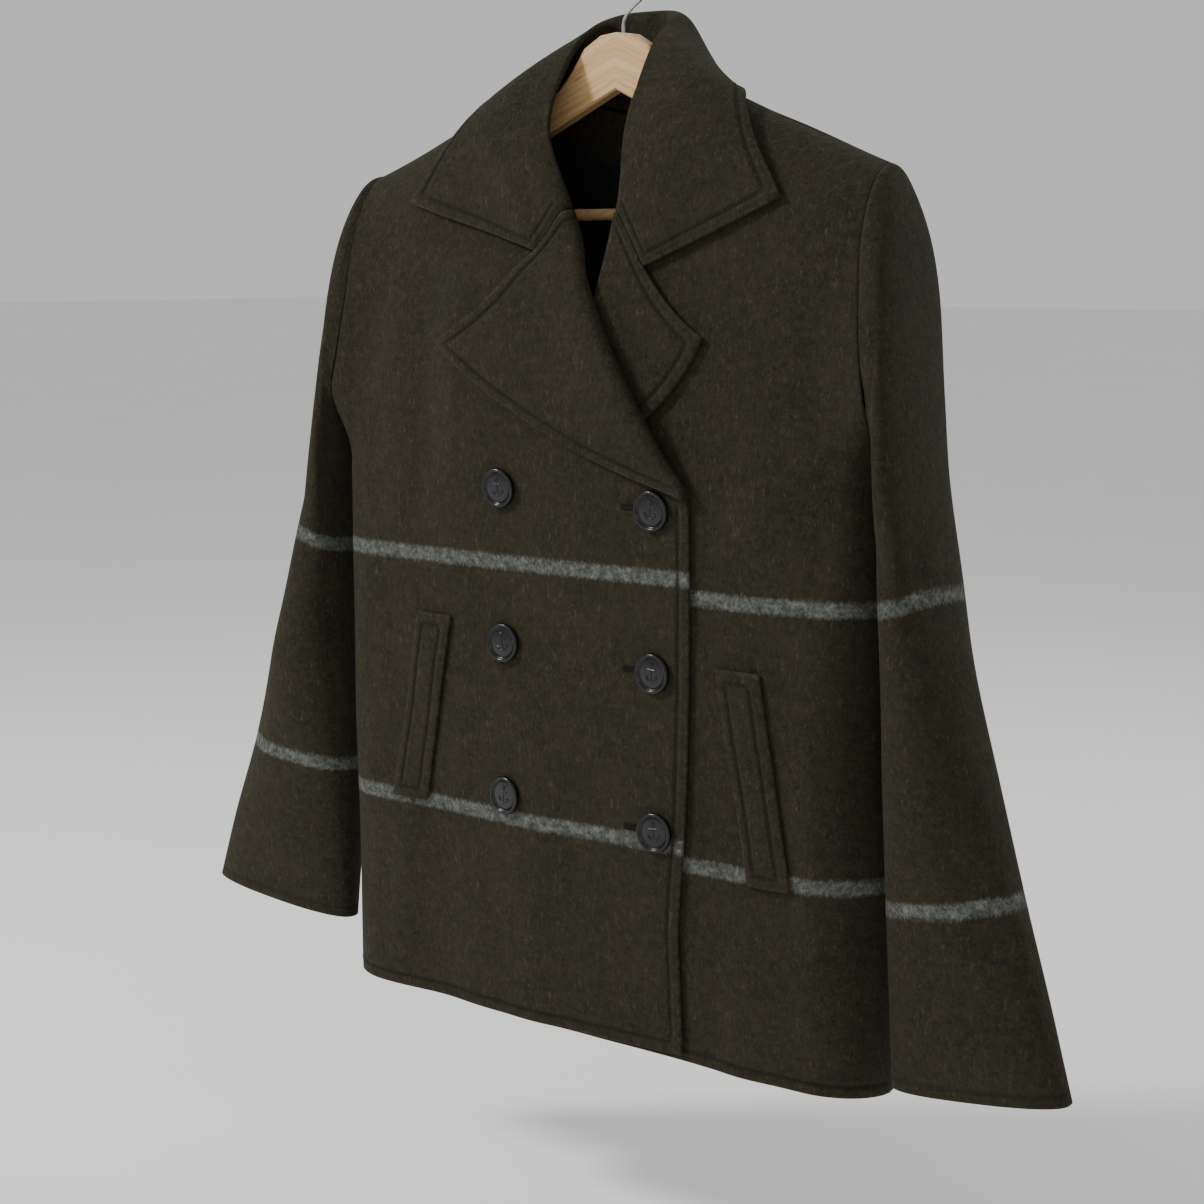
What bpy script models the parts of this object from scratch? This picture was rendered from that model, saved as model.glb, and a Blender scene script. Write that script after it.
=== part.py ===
"""Double-breasted military pea coat hanging on a wooden hanger.

Every piece that a tailor cuts is one closed wall of cloth. Places on the coat
are given as (across, height): across is measured round the body from its
centre line, so a panel keeps its width where the cloth turns the corner to the
side seam. Metres, +Z up, front at -Y, the wearer's left at +X. The origin is
where the hook bears on whatever holds it.
"""
import math

import bmesh
import bpy
import numpy as np
from mathutils import Vector
from mathutils.bvhtree import BVHTree

# Cloth
CLOTH = 0.003
COLLAR_CLOTH = 0.004
WELT_CLOTH = 0.0025
LINING_CLOTH = 0.001
LINING_GAP = 0.0020
SEAM_GAP = 0.0003
FRONT = -1.0
BACK = 1.0

# Body of the coat
HEM_Z = -0.850
LEFT_HEM_DROP = 0.010
UNDERARM_Z = -0.412
NECK_POINT_X = 0.075
NECK_POINT_Z = -0.112
SHOULDER_TIP_X = 0.242
SHOULDER_SLOPE = 0.395
SHOULDER_ROLL = 0.070
BODY_HALF_WIDTH = 0.262
BODY_SIDE_SHIFT = -0.007
SHOULDER_WIDEN = 0.072
ARMHOLE_BLEND = 0.12
CORNER = 0.052
CROWN = 0.12
BACK_NECK_DROP = 0.024

# Depth of the hanging coat: height, front depth, back depth
DEPTH_ROWS = (
    (-0.860, 0.044, 0.032),
    (-0.620, 0.049, 0.036),
    (-0.420, 0.053, 0.038),
    (-0.300, 0.048, 0.037),
    (-0.200, 0.038, 0.034),
    (-0.100, 0.033, 0.030),
)

# Largest folds: face, across, lean, top, bottom, width, rise
FOLD_ROWS = (
    (FRONT, -0.215, 0.05, -0.235, -0.500, 0.026, -0.0045),
    (FRONT, -0.170, -0.10, -0.300, -0.620, 0.030, 0.0025),
    (FRONT, -0.030, 0.06, -0.600, -0.900, 0.032, 0.0035),
    (FRONT, -0.130, -0.05, -0.640, -0.900, 0.030, -0.0030),
    (FRONT, 0.215, -0.04, -0.240, -0.520, 0.026, -0.0045),
    (FRONT, 0.170, 0.08, -0.330, -0.640, 0.030, 0.0025),
    (FRONT, 0.165, 0.05, -0.700, -0.900, 0.030, 0.0040),
    (BACK, -0.208, 0.04, -0.240, -0.560, 0.028, -0.0045),
    (BACK, -0.120, -0.06, -0.300, -0.900, 0.030, 0.0040),
    (BACK, 0.015, 0.03, -0.420, -0.900, 0.034, -0.0040),
    (BACK, 0.135, 0.05, -0.260, -0.900, 0.028, 0.0045),
    (BACK, 0.208, -0.05, -0.240, -0.540, 0.028, -0.0045),
)

# Front edges: height, across on the overlapping front, across on the front under it
EDGE_ROWS = (
    (-0.860, 0.107, -0.088),
    (-0.750, 0.104, -0.088),
    (-0.660, 0.112, -0.088),
    (-0.560, 0.117, -0.088),
    (-0.470, 0.117, -0.088),
)

# Roll lines, gorges and lapels, as (across, height)
RIGHT_BREAK = (0.117, -0.420)
RIGHT_ROLL_BOW = (0.040, -0.330)
RIGHT_GORGE = (-0.016, -0.212)
RIGHT_NOTCH = (-0.036, -0.240)
RIGHT_TIP = (-0.131, -0.311)
RIGHT_LAPEL_BOW = (-0.024, -0.384)
LEFT_BREAK = (-0.010, -0.368)
LEFT_ROLL_BOW = (0.024, -0.300)
LEFT_GORGE = (0.036, -0.212)
LEFT_NOTCH = (0.062, -0.251)
LEFT_TIP = (0.121, -0.303)
LEFT_LAPEL_BOW = (0.073, -0.402)
NECK_BOW = (0.056, -0.165)
RIGHT_ROLL_RADIUS = 0.0055
LEFT_ROLL_RADIUS = 0.0035
BREAK_ROLL_RADIUS = 0.0024
LAPEL_EDGE_OUT = 0.0036
LAPEL_TOP_SAG = 0.006
EDGE_GAP = 0.0006
GORGE_GAP = 0.0016
OVERLAP_LIFT = 0.0045
LAPEL_LIFT = 0.0070

# Collar stations: name, roll (x, y, z), edge across, edge height, edge face
COLLAR_ROWS = (
    ("centre back", (0.004, 0.040, -0.058), 0.000, -0.152, BACK),
    ("back", (0.026, 0.034, -0.060), 0.050, -0.150, BACK),
    ("side back", (0.038, 0.014, -0.070), 0.088, -0.139, BACK),
    ("side", (0.041, -0.013, -0.092), 0.118, -0.1305, FRONT),
    ("front", (0.042, -0.041, -0.146), 0.147, -0.163, FRONT),
)
COLLAR_TIP = (0.176, -0.203)
COLLAR_EDGE_OUT = 0.0058
COLLAR_TURN = 0.016
COLLAR_BULGE = 0.010
FALL_CLEAR = 0.0044
STAND_CLEAR = 0.0030
COLLAR_REACH = 0.0055
STAND_COLUMNS = 3
CLEARING_PASSES = 3
NECK_GAP = 0.0040
NECK_STATIONS = (0.0, 0.5, 0.95)

# Sleeve rings: inner x, inner z, outer x, outer z, middle y, half depth
SLEEVE_ROWS = (
    (0.2670, -0.4150, 0.2520, -0.1860, -0.008, 0.0430),
    (0.2680, -0.4220, 0.2600, -0.2100, -0.008, 0.0440),
    (0.2685, -0.4320, 0.2680, -0.2520, -0.008, 0.0450),
    (0.2685, -0.4480, 0.2760, -0.3150, -0.008, 0.0450),
    (0.2685, -0.4720, 0.2860, -0.3850, -0.008, 0.0450),
    (0.2690, -0.5100, 0.3030, -0.4600, -0.009, 0.0450),
    (0.2690, -0.5650, 0.3240, -0.5350, -0.010, 0.0430),
    (0.2690, -0.6300, 0.3470, -0.6100, -0.011, 0.0400),
    (0.2700, -0.7000, 0.3710, -0.6850, -0.012, 0.0340),
    (0.2720, -0.7700, 0.3960, -0.7550, -0.013, 0.0260),
    (0.2750, -0.8350, 0.4170, -0.8200, -0.014, 0.0200),
)
SLEEVE_FOLD_ROWS = (
    (5.2, 0.9, 0.55, -0.0040),
    (6.6, 0.9, 1.55, 0.0035),
    (7.8, 1.0, 0.75, -0.0040),
    (6.2, 1.0, -0.80, -0.0040),
)
CUFF_DROP = {-1.0: 0.022, 1.0: -0.012}
CUFF_SWING = {-1.0: 0.016, 1.0: -0.002}
SLEEVE_SEAM_GAP = 0.0010
SLEEVE_SQUARENESS = 2.4
ARMHOLE_GAP = 0.0005
UNDERARM_STEP = 0.0040
UNDER_SLEEVE_FROM = 3.55
UNDER_SLEEVE_TO = 5.45

# Pocket welts: side, top middle, bottom middle, as (across, height)
WELT_ROWS = (
    ("welt_right", -1.0, (-0.134, -0.529), (-0.170, -0.685)),
    ("welt_left", 1.0, (0.160, -0.546), (0.186, -0.706)),
)
WELT_WIDTH = 0.037
WELT_GAP = 0.0010

# Buttons
BUTTON_COLUMNS = ((-0.061, -0.422), (0.086, -0.431))
BUTTON_ROW_STEP = 0.123
BUTTON_ROW_COUNT = 3
BUTTON_GAP = 0.0003
BUTTON_FOOT = 0.0145
BUTTON_PROFILE = (
    (0.0000, 0.0030),
    (0.0060, 0.0032),
    (0.0112, 0.0024),
    (0.0128, 0.0042),
    (0.0144, 0.0044),
    (0.0156, 0.0030),
    (0.0152, 0.0006),
    (0.0140, 0.0000),
    (0.0000, 0.0000),
)
BUTTON_STEPS = 16

# Hanger
HANGER_THICKNESS = 0.013
HANGER_CHAMFER = 0.0015
HANGER_TOP = (
    (0.0, -0.0750),
    (0.015, -0.0768),
    (0.031, -0.0860),
    (0.046, -0.1060),
    (0.060, -0.1205),
    (0.074, -0.1235),
)
HANGER_SHOULDER_FROM = 0.090
HANGER_SHOULDER_TO = 0.204
HANGER_CLEARANCE = 0.0060
HANGER_END = ((0.214, -0.178), (0.2170, -0.192), (0.2160, -0.210), (0.208, -0.222), (0.190, -0.226))
HANGER_UNDERSIDE = ((0.178, -0.2220), (0.100, -0.1650), (0.0, -0.1180))
BAR_Z = -0.2120
BAR_RADIUS = 0.0045
BAR_HALF_LENGTH = 0.1920
BAR_BORE_RADIUS = 0.0049
WIRE_RADIUS = 0.0015
HOOK_RADIUS = 0.0300
HOOK_STEM_X = 0.003
HOOK_STEM_TOP_Z = -0.070
HOOK_STEM_FOOT_Z = -0.090
HOOK_BEND_Z = -0.061
HOOK_FROM = math.radians(-52.0)
HOOK_TO = math.radians(205.0)
BORE_RADIUS = 0.0019
BORE_DEPTH = 0.040
BORE_END_GAP = 0.0006

# Mesh fineness
LOW_ROWS = 8
ROLL_ROWS = 8
NECK_ROWS = 2
ROLL_ANGLES = (1.20, 0.86, 0.54, 0.27, 0.10, 0.0045)
FRONT_COLUMNS = 16
LAPEL_ARC_COLUMNS = 6
COLLAR_FALL_COLUMNS = 9
COLLAR_STEPS = 3
SLEEVE_COLUMNS = 22

COLOURS = {
    "wool": ((0.034, 0.030, 0.015), 0.95, 0.0),
    "lining": ((0.004, 0.004, 0.005), 0.75, 0.0),
    "button": ((0.004, 0.004, 0.005), 0.25, 0.0),
    "wood": ((0.60, 0.40, 0.20), 0.50, 0.0),
    "steel": ((0.55, 0.56, 0.58), 0.30, 1.0),
}


def smooth(value):
    """Ease from 0 to 1."""
    value = np.clip(value, 0.0, 1.0)
    return value * value * (3.0 - 2.0 * value)


def bow(start, middle, end, steps):
    """Points along a curve drawn from start to end towards a middle handle."""
    t = np.linspace(0.0, 1.0, steps + 1)[:, None]
    start, middle, end = np.array(start), np.array(middle), np.array(end)
    return (1.0 - t) ** 2 * start + 2.0 * t * (1.0 - t) * middle + t ** 2 * end


def clear_scene():
    """Empty the scene."""
    for old in list(bpy.data.objects):
        bpy.data.objects.remove(old, do_unlink=True)


def make_collection(name):
    """A collection linked to the scene."""
    made = bpy.data.collections.new(name)
    bpy.context.scene.collection.children.link(made)
    return made


def finish(item, collection, look, smoothed=True):
    """Put an object in its collection with its material and its shading."""
    collection.objects.link(item)
    colour, roughness, metallic = COLOURS[look]
    material = bpy.data.materials.new(item.name)
    material.use_nodes = True
    surface = material.node_tree.nodes["Principled BSDF"]
    surface.inputs["Base Color"].default_value = (*colour, 1.0)
    surface.inputs["Roughness"].default_value = roughness
    surface.inputs["Metallic"].default_value = metallic
    item.data.materials.append(material)
    if smoothed:
        item.data.shade_smooth()
        item.data.set_sharp_from_angle(angle=math.radians(40.0))
    return item


def wall(name, collection, look, middle, normal, thickness):
    """A closed wall of cloth, half its thickness to each side of a grid of points."""
    rows, columns = middle.shape[:2]
    outer = middle + normal * thickness / 2.0
    inner = middle - normal * thickness / 2.0
    points = np.concatenate((outer.reshape(-1, 3), inner.reshape(-1, 3)))
    back = rows * columns
    faces = []
    for r in range(rows - 1):
        for c in range(columns - 1):
            a = r * columns + c
            quad = (a, a + 1, a + columns + 1, a + columns)
            faces.append(quad)
            faces.append(tuple(back + v for v in reversed(quad)))
    rim = [c for c in range(columns)]
    rim += [r * columns + columns - 1 for r in range(1, rows)]
    rim += [(rows - 1) * columns + c for c in range(columns - 2, -1, -1)]
    rim += [r * columns for r in range(rows - 2, 0, -1)]
    for a, b in zip(rim, rim[1:] + rim[:1]):
        faces.append((b, a, back + a, back + b))
    mesh = bpy.data.meshes.new(name)
    mesh.from_pydata([tuple(p) for p in points], [], faces)
    shell = bmesh.new()
    shell.from_mesh(mesh)
    bmesh.ops.recalc_face_normals(shell, faces=shell.faces)
    shell.to_mesh(mesh)
    shell.free()
    return finish(bpy.data.objects.new(name, mesh), collection, look)


def grid_normals(middle, outward):
    """Unit normals of a grid, turned to the side that outward points to."""
    down = np.gradient(middle, axis=0, edge_order=2)
    across = np.gradient(middle, axis=1, edge_order=2)
    normal = np.cross(down, across)
    normal /= np.linalg.norm(normal, axis=2, keepdims=True)
    if (normal * outward).sum() < 0.0:
        normal = -normal
    return normal


def shoulder_height(x):
    """Height of the shoulder ridge."""
    return NECK_POINT_Z - SHOULDER_SLOPE * (np.abs(x) - NECK_POINT_X)


def half_width(z):
    """Half the width of the body, going on into the sleeves above the underarm."""
    return BODY_HALF_WIDTH + SHOULDER_WIDEN * smooth((z - UNDERARM_Z) / ARMHOLE_BLEND)


def side_shift(z):
    """How far the body hangs towards the wearer's right below the shoulders."""
    return BODY_SIDE_SHIFT * smooth((-0.22 - z) / 0.20)


def hem_height(across):
    """Height of the hem, lower towards the left side seam."""
    return HEM_Z - LEFT_HEM_DROP * smooth(across / 0.26)


def depth(z, face):
    """Depth of the front or the back from the plane of the side seams."""
    heights = [row[0] for row in DEPTH_ROWS]
    column = 1 if face == FRONT else 2
    return np.interp(z, heights, [row[column] for row in DEPTH_ROWS])


def corner_arc(z, face):
    """Length of the turn from the flat of the cloth to the side seam."""
    return 0.5 * math.pi * np.sqrt((CORNER ** 2 + depth(z, face) ** 2) / 2.0)


def side_reach(z, face):
    """Distance round the body from the centre line to the side seam."""
    return half_width(z) - CORNER + corner_arc(z, face)


def folds(across, z, face):
    """Rise of the cloth in its largest folds."""
    rise = 0.0 * across * z
    for on, place, lean, top, bottom, width, height in FOLD_ROWS:
        if on != face:
            continue
        middle = place + lean * (z - 0.5 * (top + bottom))
        reach = smooth((top - z) / 0.06) * smooth((z - bottom) / 0.06)
        rise = rise + height * reach * np.exp(-((across - middle) / width) ** 2)
    return rise


def cloth(across, z, face, out):
    """Point and outward normal, a distance out from the body's outer surface."""
    across, z = np.broadcast_arrays(np.asarray(across, float), np.asarray(z, float))
    side = np.where(across < 0.0, -1.0, 1.0)
    width, deep, arc = half_width(z), depth(z, face), corner_arc(z, face)
    flat = width - CORNER
    rate = 0.5 * math.pi / arc
    turn = np.maximum(np.abs(across) - flat, 0.0) * rate
    x = side * (np.minimum(np.abs(across), flat) + CORNER * np.sin(turn))
    lean = np.clip(1.0 - (shoulder_height(x) - z) / SHOULDER_ROLL, 0.0, 1.0)
    rise = np.sqrt(1.0 - lean ** 2)
    bulge = deep * (1.0 + CROWN * (1.0 - (x / width) ** 2))
    y = face * bulge * np.cos(turn) * rise
    x_rate = np.where(turn > 0.0, CORNER * np.cos(turn) * rate, 1.0)
    y_rate = -face * bulge * np.sin(turn) * rate * rise
    along = np.stack((side * x_rate, y_rate, -SHOULDER_SLOPE * x_rate), axis=-1)
    down = np.stack((0.0 * x, face * bulge * np.cos(turn) * lean, -SHOULDER_ROLL * rise), axis=-1)
    normal = np.cross(along, down) * (face * side)[..., None]
    normal /= np.linalg.norm(normal, axis=-1, keepdims=True)
    lift = (out + folds(across, z, face))[..., None]
    return np.stack((x + side_shift(z), y, z), axis=-1) + normal * lift, normal


def top_front_lift(across, z):
    """How far the overlapping front stands out over the front and lapel under it."""
    aside = smooth((across + 0.160) / 0.055)
    below_gorge = smooth((-0.225 - z) / 0.040)
    above_break = smooth((z + 0.436) / 0.060)
    return aside * below_gorge * (OVERLAP_LIFT + LAPEL_LIFT * above_break)


def roll_rows(points):
    """Rows up an edge: its even steps to the shoulder roll, then steps of the roll's angle."""
    drop = shoulder_height(points[:, 0]) - points[:, 1]
    half = len(points) // 2
    share = np.linspace(0.0, 1.0, len(points))
    drops = SHOULDER_ROLL * (1.0 - np.cos(np.array(ROLL_ANGLES)))
    places = np.interp(-drops, -drop[half:], share[half:])
    return places, lambda at: np.stack([np.interp(at, share, points[:, k]) for k in (0, 1)], axis=-1)


def armhole(face, steps=400):
    """Armhole edge from the underarm to the shoulder tip, on the wearer's left."""
    start = side_reach(UNDERARM_Z, face) - SEAM_GAP / 2.0
    tip_z = shoulder_height(SHOULDER_TIP_X)
    angle = np.linspace(0.0, math.pi / 2.0, steps + 1)
    across = start - (start - SHOULDER_TIP_X) * np.sin(angle)
    return np.stack((across, tip_z + (UNDERARM_Z - tip_z) * np.cos(angle)), axis=-1)


def outer_edge(face, side):
    """Side seam and armhole as rows of (across, height), across counted from the centre."""
    z = np.linspace(float(hem_height(side * 0.26)), UNDERARM_Z, LOW_ROWS + 1)[:-1]
    seam = np.stack((side_reach(z, face) - SEAM_GAP / 2.0, z), axis=-1)
    places, at = roll_rows(armhole(face))
    even = np.linspace(0.0, places[0], ROLL_ROWS + NECK_ROWS + 1)[:-1]
    return np.concatenate((seam, at(even), at(places)))


def inner_edge(column, break_point, roll_bow, gorge, side):
    """Front edge, roll line and neck edge as rows of (across, height)."""
    z = np.linspace(HEM_Z, break_point[1] - 0.055, LOW_ROWS)
    edge_x = np.interp(z, [row[0] for row in EDGE_ROWS], [row[column] for row in EDGE_ROWS])
    edge = np.stack((edge_x, z), axis=-1)
    roll = bow(break_point, roll_bow, gorge, ROLL_ROWS)
    neck = bow(gorge, (side * NECK_BOW[0], NECK_BOW[1]), (side * NECK_POINT_X, NECK_POINT_Z), 200)
    places, at = roll_rows(neck)
    even = np.linspace(0.0, places[0], NECK_ROWS + 1)[1:-1]
    return np.concatenate((edge, roll, at(even), at(places)))


def ruled(first, last, columns):
    """Grid of (across, height) places between two edges."""
    share = np.linspace(0.0, 1.0, columns)[None, :, None]
    return first[:, None, :] * (1.0 - share) + last[:, None, :] * share


def make_front(name, collection, side, inner, lift):
    """One front, from its side seam and armhole to its front edge and roll line."""
    outer = outer_edge(FRONT, side) * np.array([side, 1.0])
    places = ruled(outer, inner, FRONT_COLUMNS)
    across, z = places[..., 0], places[..., 1]
    out = -CLOTH / 2.0
    if lift:
        out = out + top_front_lift(across, z)
    middle, normal = cloth(across, z, FRONT, out)
    return wall(name, collection, "wool", middle, normal, CLOTH)


def seat_tree(panel):
    """Search tree of a panel's faces, to lay pieces on the cloth as built."""
    mesh = panel.data
    return BVHTree.FromPolygons([v.co for v in mesh.vertices], [p.vertices for p in mesh.polygons])


def on_front(tree, x, z):
    """Point of a front's outer surface straight behind a place in the front view."""
    return np.array(tree.ray_cast(Vector((x, -1.0, z)), Vector((0.0, 1.0, 0.0)))[0])


def back_neck_height(across):
    """Height of the back's top edge: the neck curve, then the shoulder seam."""
    neck = NECK_POINT_Z - BACK_NECK_DROP * (1.0 - (across / NECK_POINT_X) ** 2)
    return np.where(np.abs(across) < NECK_POINT_X, neck, shoulder_height(across))


def back_places():
    """Grid of (across, height) places over the back, seam to seam."""
    outer, other = outer_edge(BACK, -1.0), outer_edge(BACK, 1.0)
    inside = NECK_POINT_X / SHOULDER_TIP_X
    half = np.concatenate((np.linspace(0.0, inside, 4), np.linspace(inside, 1.0, 8)[1:]))
    share = np.concatenate((-half[:0:-1], half))[None, :]
    across = share * outer[:, :1]
    top = back_neck_height(share * SHOULDER_TIP_X) - shoulder_height(SHOULDER_TIP_X)
    rows = np.arange(len(outer))[:, None]
    weight = np.clip((rows - LOW_ROWS) / (ROLL_ROWS + NECK_ROWS), 0.0, 1.0)
    level = outer[:, 1:] + (other[:, 1:] - outer[:, 1:]) * smooth(share)
    return across, level + top * weight


def make_back(collection):
    """The back in one piece, from hem to shoulder seams and neck."""
    across, z = back_places()
    middle, normal = cloth(across, z, BACK, -CLOTH / 2.0)
    return wall("back", collection, "wool", middle, normal, CLOTH)


def make_back_lining(collection):
    """Black lining inside the back, seen through the neck."""
    across, z = back_places()
    rows, columns = slice(1, 2 + LOW_ROWS + ROLL_ROWS + NECK_ROWS), slice(2, -2)
    out = -CLOTH - LINING_GAP - LINING_CLOTH / 2.0
    middle, normal = cloth(across[rows, columns], z[rows, columns], BACK, out)
    wall("lining_back", collection, "lining", middle, normal, LINING_CLOTH)


def flat_shares():
    """Shares of the way from a roll line to the free edge, the roll line left out."""
    return np.linspace(0.0, 1.0, COLLAR_FALL_COLUMNS - 2)[1:, None]


def gorge_line(gorge, notch, tip, sag):
    """Places from the roll along the gorge seam to the notch, then on to a tip."""
    gorge, notch, tip = np.array(gorge), np.array(notch), np.array(tip)
    share = flat_shares()
    turn = share[1]
    beyond = (share - turn) / (1.0 - turn)
    line = np.where(share <= turn, gorge + (notch - gorge) * share / turn, notch + (tip - notch) * beyond)
    line[:, 1] -= sag * np.sin(math.pi * np.clip(beyond[:, 0], 0.0, 1.0))
    return line


def lapel_section(roll, into, flat, radius, base_lift):
    """One run of cloth from a roll line, round its fold and out along a flat of given places."""
    angle = np.linspace(0.0, math.pi, LAPEL_ARC_COLUMNS + 1)
    arc = roll + into * (EDGE_GAP + radius * np.sin(angle))[:, None]
    arc_out = radius * (1.0 - np.cos(angle)) - CLOTH / 2.0
    flat_out = arc_out[-1] + (LAPEL_EDGE_OUT - arc_out[-1]) * smooth(flat_shares()[:, 0] * 1.3)
    places = np.concatenate((arc, flat))
    out = np.concatenate((arc_out, flat_out))
    return places, out + base_lift(places[:, 0], places[:, 1])


def no_lift(across, z):
    """The front underneath lies on the body's own surface."""
    return 0.0 * across * z


def across_roll(roll, side):
    """Unit steps in the cloth's plane from a roll line into the neck opening."""
    run = np.gradient(roll, axis=0)
    run /= np.linalg.norm(run, axis=1, keepdims=True)
    step = np.stack((run[:, 1], -run[:, 0]), axis=-1)
    return step * np.where(step[:, :1] * side > 0.0, -1.0, 1.0)


def make_lapel(name, collection, side, line, notch, tip, edge_bow, radius, lift):
    """One lapel, folded out from its roll line over the chest."""
    roll = bow(*line, ROLL_ROWS)
    edge = bow(line[0], edge_bow, tip, ROLL_ROWS)
    edge[0] = roll[0] + np.array([side * 0.006, 0.0])
    into = across_roll(roll, side)
    straight = roll[:, None] + (edge - roll)[:, None] * flat_shares()
    top = gorge_line(line[2], notch, tip, LAPEL_TOP_SAG)
    sections = []
    for k, share in enumerate(np.linspace(0.0, 1.0, len(roll))):
        size = BREAK_ROLL_RADIUS + (radius - BREAK_ROLL_RADIUS) * smooth(share / 0.4)
        flat = straight[k] + (top - straight[-1]) * share ** 3
        sections.append(lapel_section(roll[k], into[k], flat, size, lift))
    places = np.array([section[0] for section in sections])
    out = np.array([section[1] for section in sections])
    middle, outward = cloth(places[..., 0], places[..., 1], FRONT, out)
    normal = grid_normals(middle, 0.0 * outward + np.array([0.0, -1.0, 0.0]))
    return wall(name, collection, "wool", middle, normal, COLLAR_CLOTH)


def curve_between(start, start_handle, end_handle, end, steps):
    """Points along a smooth curve that leaves and meets its ends towards their handles."""
    t = np.linspace(0.0, 1.0, steps + 1)[:, None]
    return ((1.0 - t) ** 3 * start + 3.0 * t * (1.0 - t) ** 2 * start_handle
            + 3.0 * t ** 2 * (1.0 - t) * end_handle + t ** 3 * end)


def neck_seam_point(station, side):
    """Middle of the body's wall on the neck seam, for a station from back to front."""
    if station < 3:
        across = side * NECK_POINT_X * NECK_STATIONS[station]
        place = (across, back_neck_height(across))
        face = BACK
    else:
        gorge = RIGHT_GORGE if side < 0.0 else LEFT_GORGE
        neck = bow(gorge, (side * NECK_BOW[0], NECK_BOW[1]), (side * NECK_POINT_X, NECK_POINT_Z), 20)
        place = neck[17] if station == 3 else neck[9]
        face = FRONT
    return cloth(place[0], place[1], face, -CLOTH / 2.0)[0]


def collar_section(station, side):
    """Points of the collar at one station: up the stand, over the roll and down the fall."""
    _, roll, across, z, face = COLLAR_ROWS[station]
    roll = np.array([side * roll[0] if station else 0.0, roll[1], roll[2]])
    edge, off = cloth(side * across, z, face, COLLAR_EDGE_OUT)
    neck = neck_seam_point(station, side)
    outward = edge - neck
    outward[2] = 0.0
    outward /= np.linalg.norm(outward)
    rise = roll - neck
    neck = neck + rise / np.linalg.norm(rise) * NECK_GAP
    stand = curve_between(neck, neck + rise * 0.5, roll - outward * COLLAR_TURN * 0.6, roll, 3)
    high = edge + (roll - edge) * 0.5 + off * COLLAR_BULGE
    turned = roll + outward * COLLAR_TURN + off * COLLAR_BULGE * 0.4
    fall = curve_between(roll, turned, high, edge, COLLAR_FALL_COLUMNS)
    return np.concatenate((stand[:-1], fall))


def collar_end(side):
    """Last section of the collar: along the gorge seam to the notch, then to the tip."""
    gorge, notch, line, radius, lift = (
        (RIGHT_GORGE, RIGHT_NOTCH, (RIGHT_BREAK, RIGHT_ROLL_BOW), RIGHT_ROLL_RADIUS, top_front_lift)
        if side < 0.0 else
        (LEFT_GORGE, LEFT_NOTCH, (LEFT_BREAK, LEFT_ROLL_BOW), LEFT_ROLL_RADIUS, no_lift))
    into = across_roll(bow(*line, gorge, ROLL_ROWS), side)[-1]
    tip = (side * COLLAR_TIP[0], COLLAR_TIP[1])
    flat = gorge_line(gorge, notch, tip, 0.0)
    places, out = lapel_section(np.array(gorge), into, flat, radius, lift)
    seam = np.array(notch) - np.array(gorge)
    places += np.array([-seam[1] * side, abs(seam[0])]) / np.linalg.norm(seam) * GORGE_GAP
    return cloth(places[:, 0], places[:, 1], FRONT, out)[0]


def through(stations, steps):
    """Rows of a smooth loft through stations, which keep their places."""
    first = 2.0 * stations[:1] - stations[1:2]
    last = 2.0 * stations[-1:] - stations[-2:-1]
    guide = np.concatenate((first, stations, last))
    rows = []
    for k in range(len(stations) - 1):
        a, b, c, d = guide[k:k + 4]
        for step in range(steps):
            t = step / steps
            rows.append(0.5 * (2.0 * b + (c - a) * t + (2.0 * a - 5.0 * b + 4.0 * c - d) * t ** 2
                               + (3.0 * b - a - 3.0 * c + d) * t ** 3))
    rows.append(stations[-1])
    return np.array(rows)


def outer_tree(panel):
    """Search tree of the outer face of a wall of cloth alone."""
    mesh = panel.data
    inner = len(mesh.vertices) // 2
    outer = [p.vertices for p in mesh.polygons if max(p.vertices) < inner]
    return BVHTree.FromPolygons([v.co for v in mesh.vertices], outer)


def stand_clear(middle, back, fronts):
    """Move the collar's points that lie too near the body straight off it."""
    over, under = outer_tree(back), seat_tree(back)
    sides = [seat_tree(front) for front in fronts]
    for index in list(np.ndindex(middle.shape[:2])) * CLEARING_PASSES:
        point = Vector(middle[index])
        rolled = index[1] >= STAND_COLUMNS
        clear = FALL_CLEAR if rolled else STAND_CLEAR
        for tree in [over if rolled else under] + sides:
            place, normal, _, away = tree.find_nearest(point)
            away = math.copysign(away, (point - place).dot(normal))
            if -COLLAR_REACH < away < clear:
                point = point + normal * (clear - away)
        middle[index] = point
    return middle


def make_collar(collection, back, fronts):
    """Stand and fall of the collar in one rolled wall, tip to tip round the neck."""
    stations = [collar_end(-1.0)]
    stations += [collar_section(k, -1.0) for k in range(len(COLLAR_ROWS) - 1, 0, -1)]
    stations += [collar_section(k, 1.0) for k in range(len(COLLAR_ROWS))]
    stations += [collar_end(1.0)]
    middle = through(np.array(stations), COLLAR_STEPS)
    middle = stand_clear(middle, back, fronts)
    down = np.gradient(middle, axis=0, edge_order=2)
    along = np.gradient(middle, axis=1, edge_order=2)
    normal = np.cross(down, along)
    normal /= np.linalg.norm(normal, axis=2, keepdims=True)
    wall("collar", collection, "wool", middle, normal, COLLAR_CLOTH)


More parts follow.
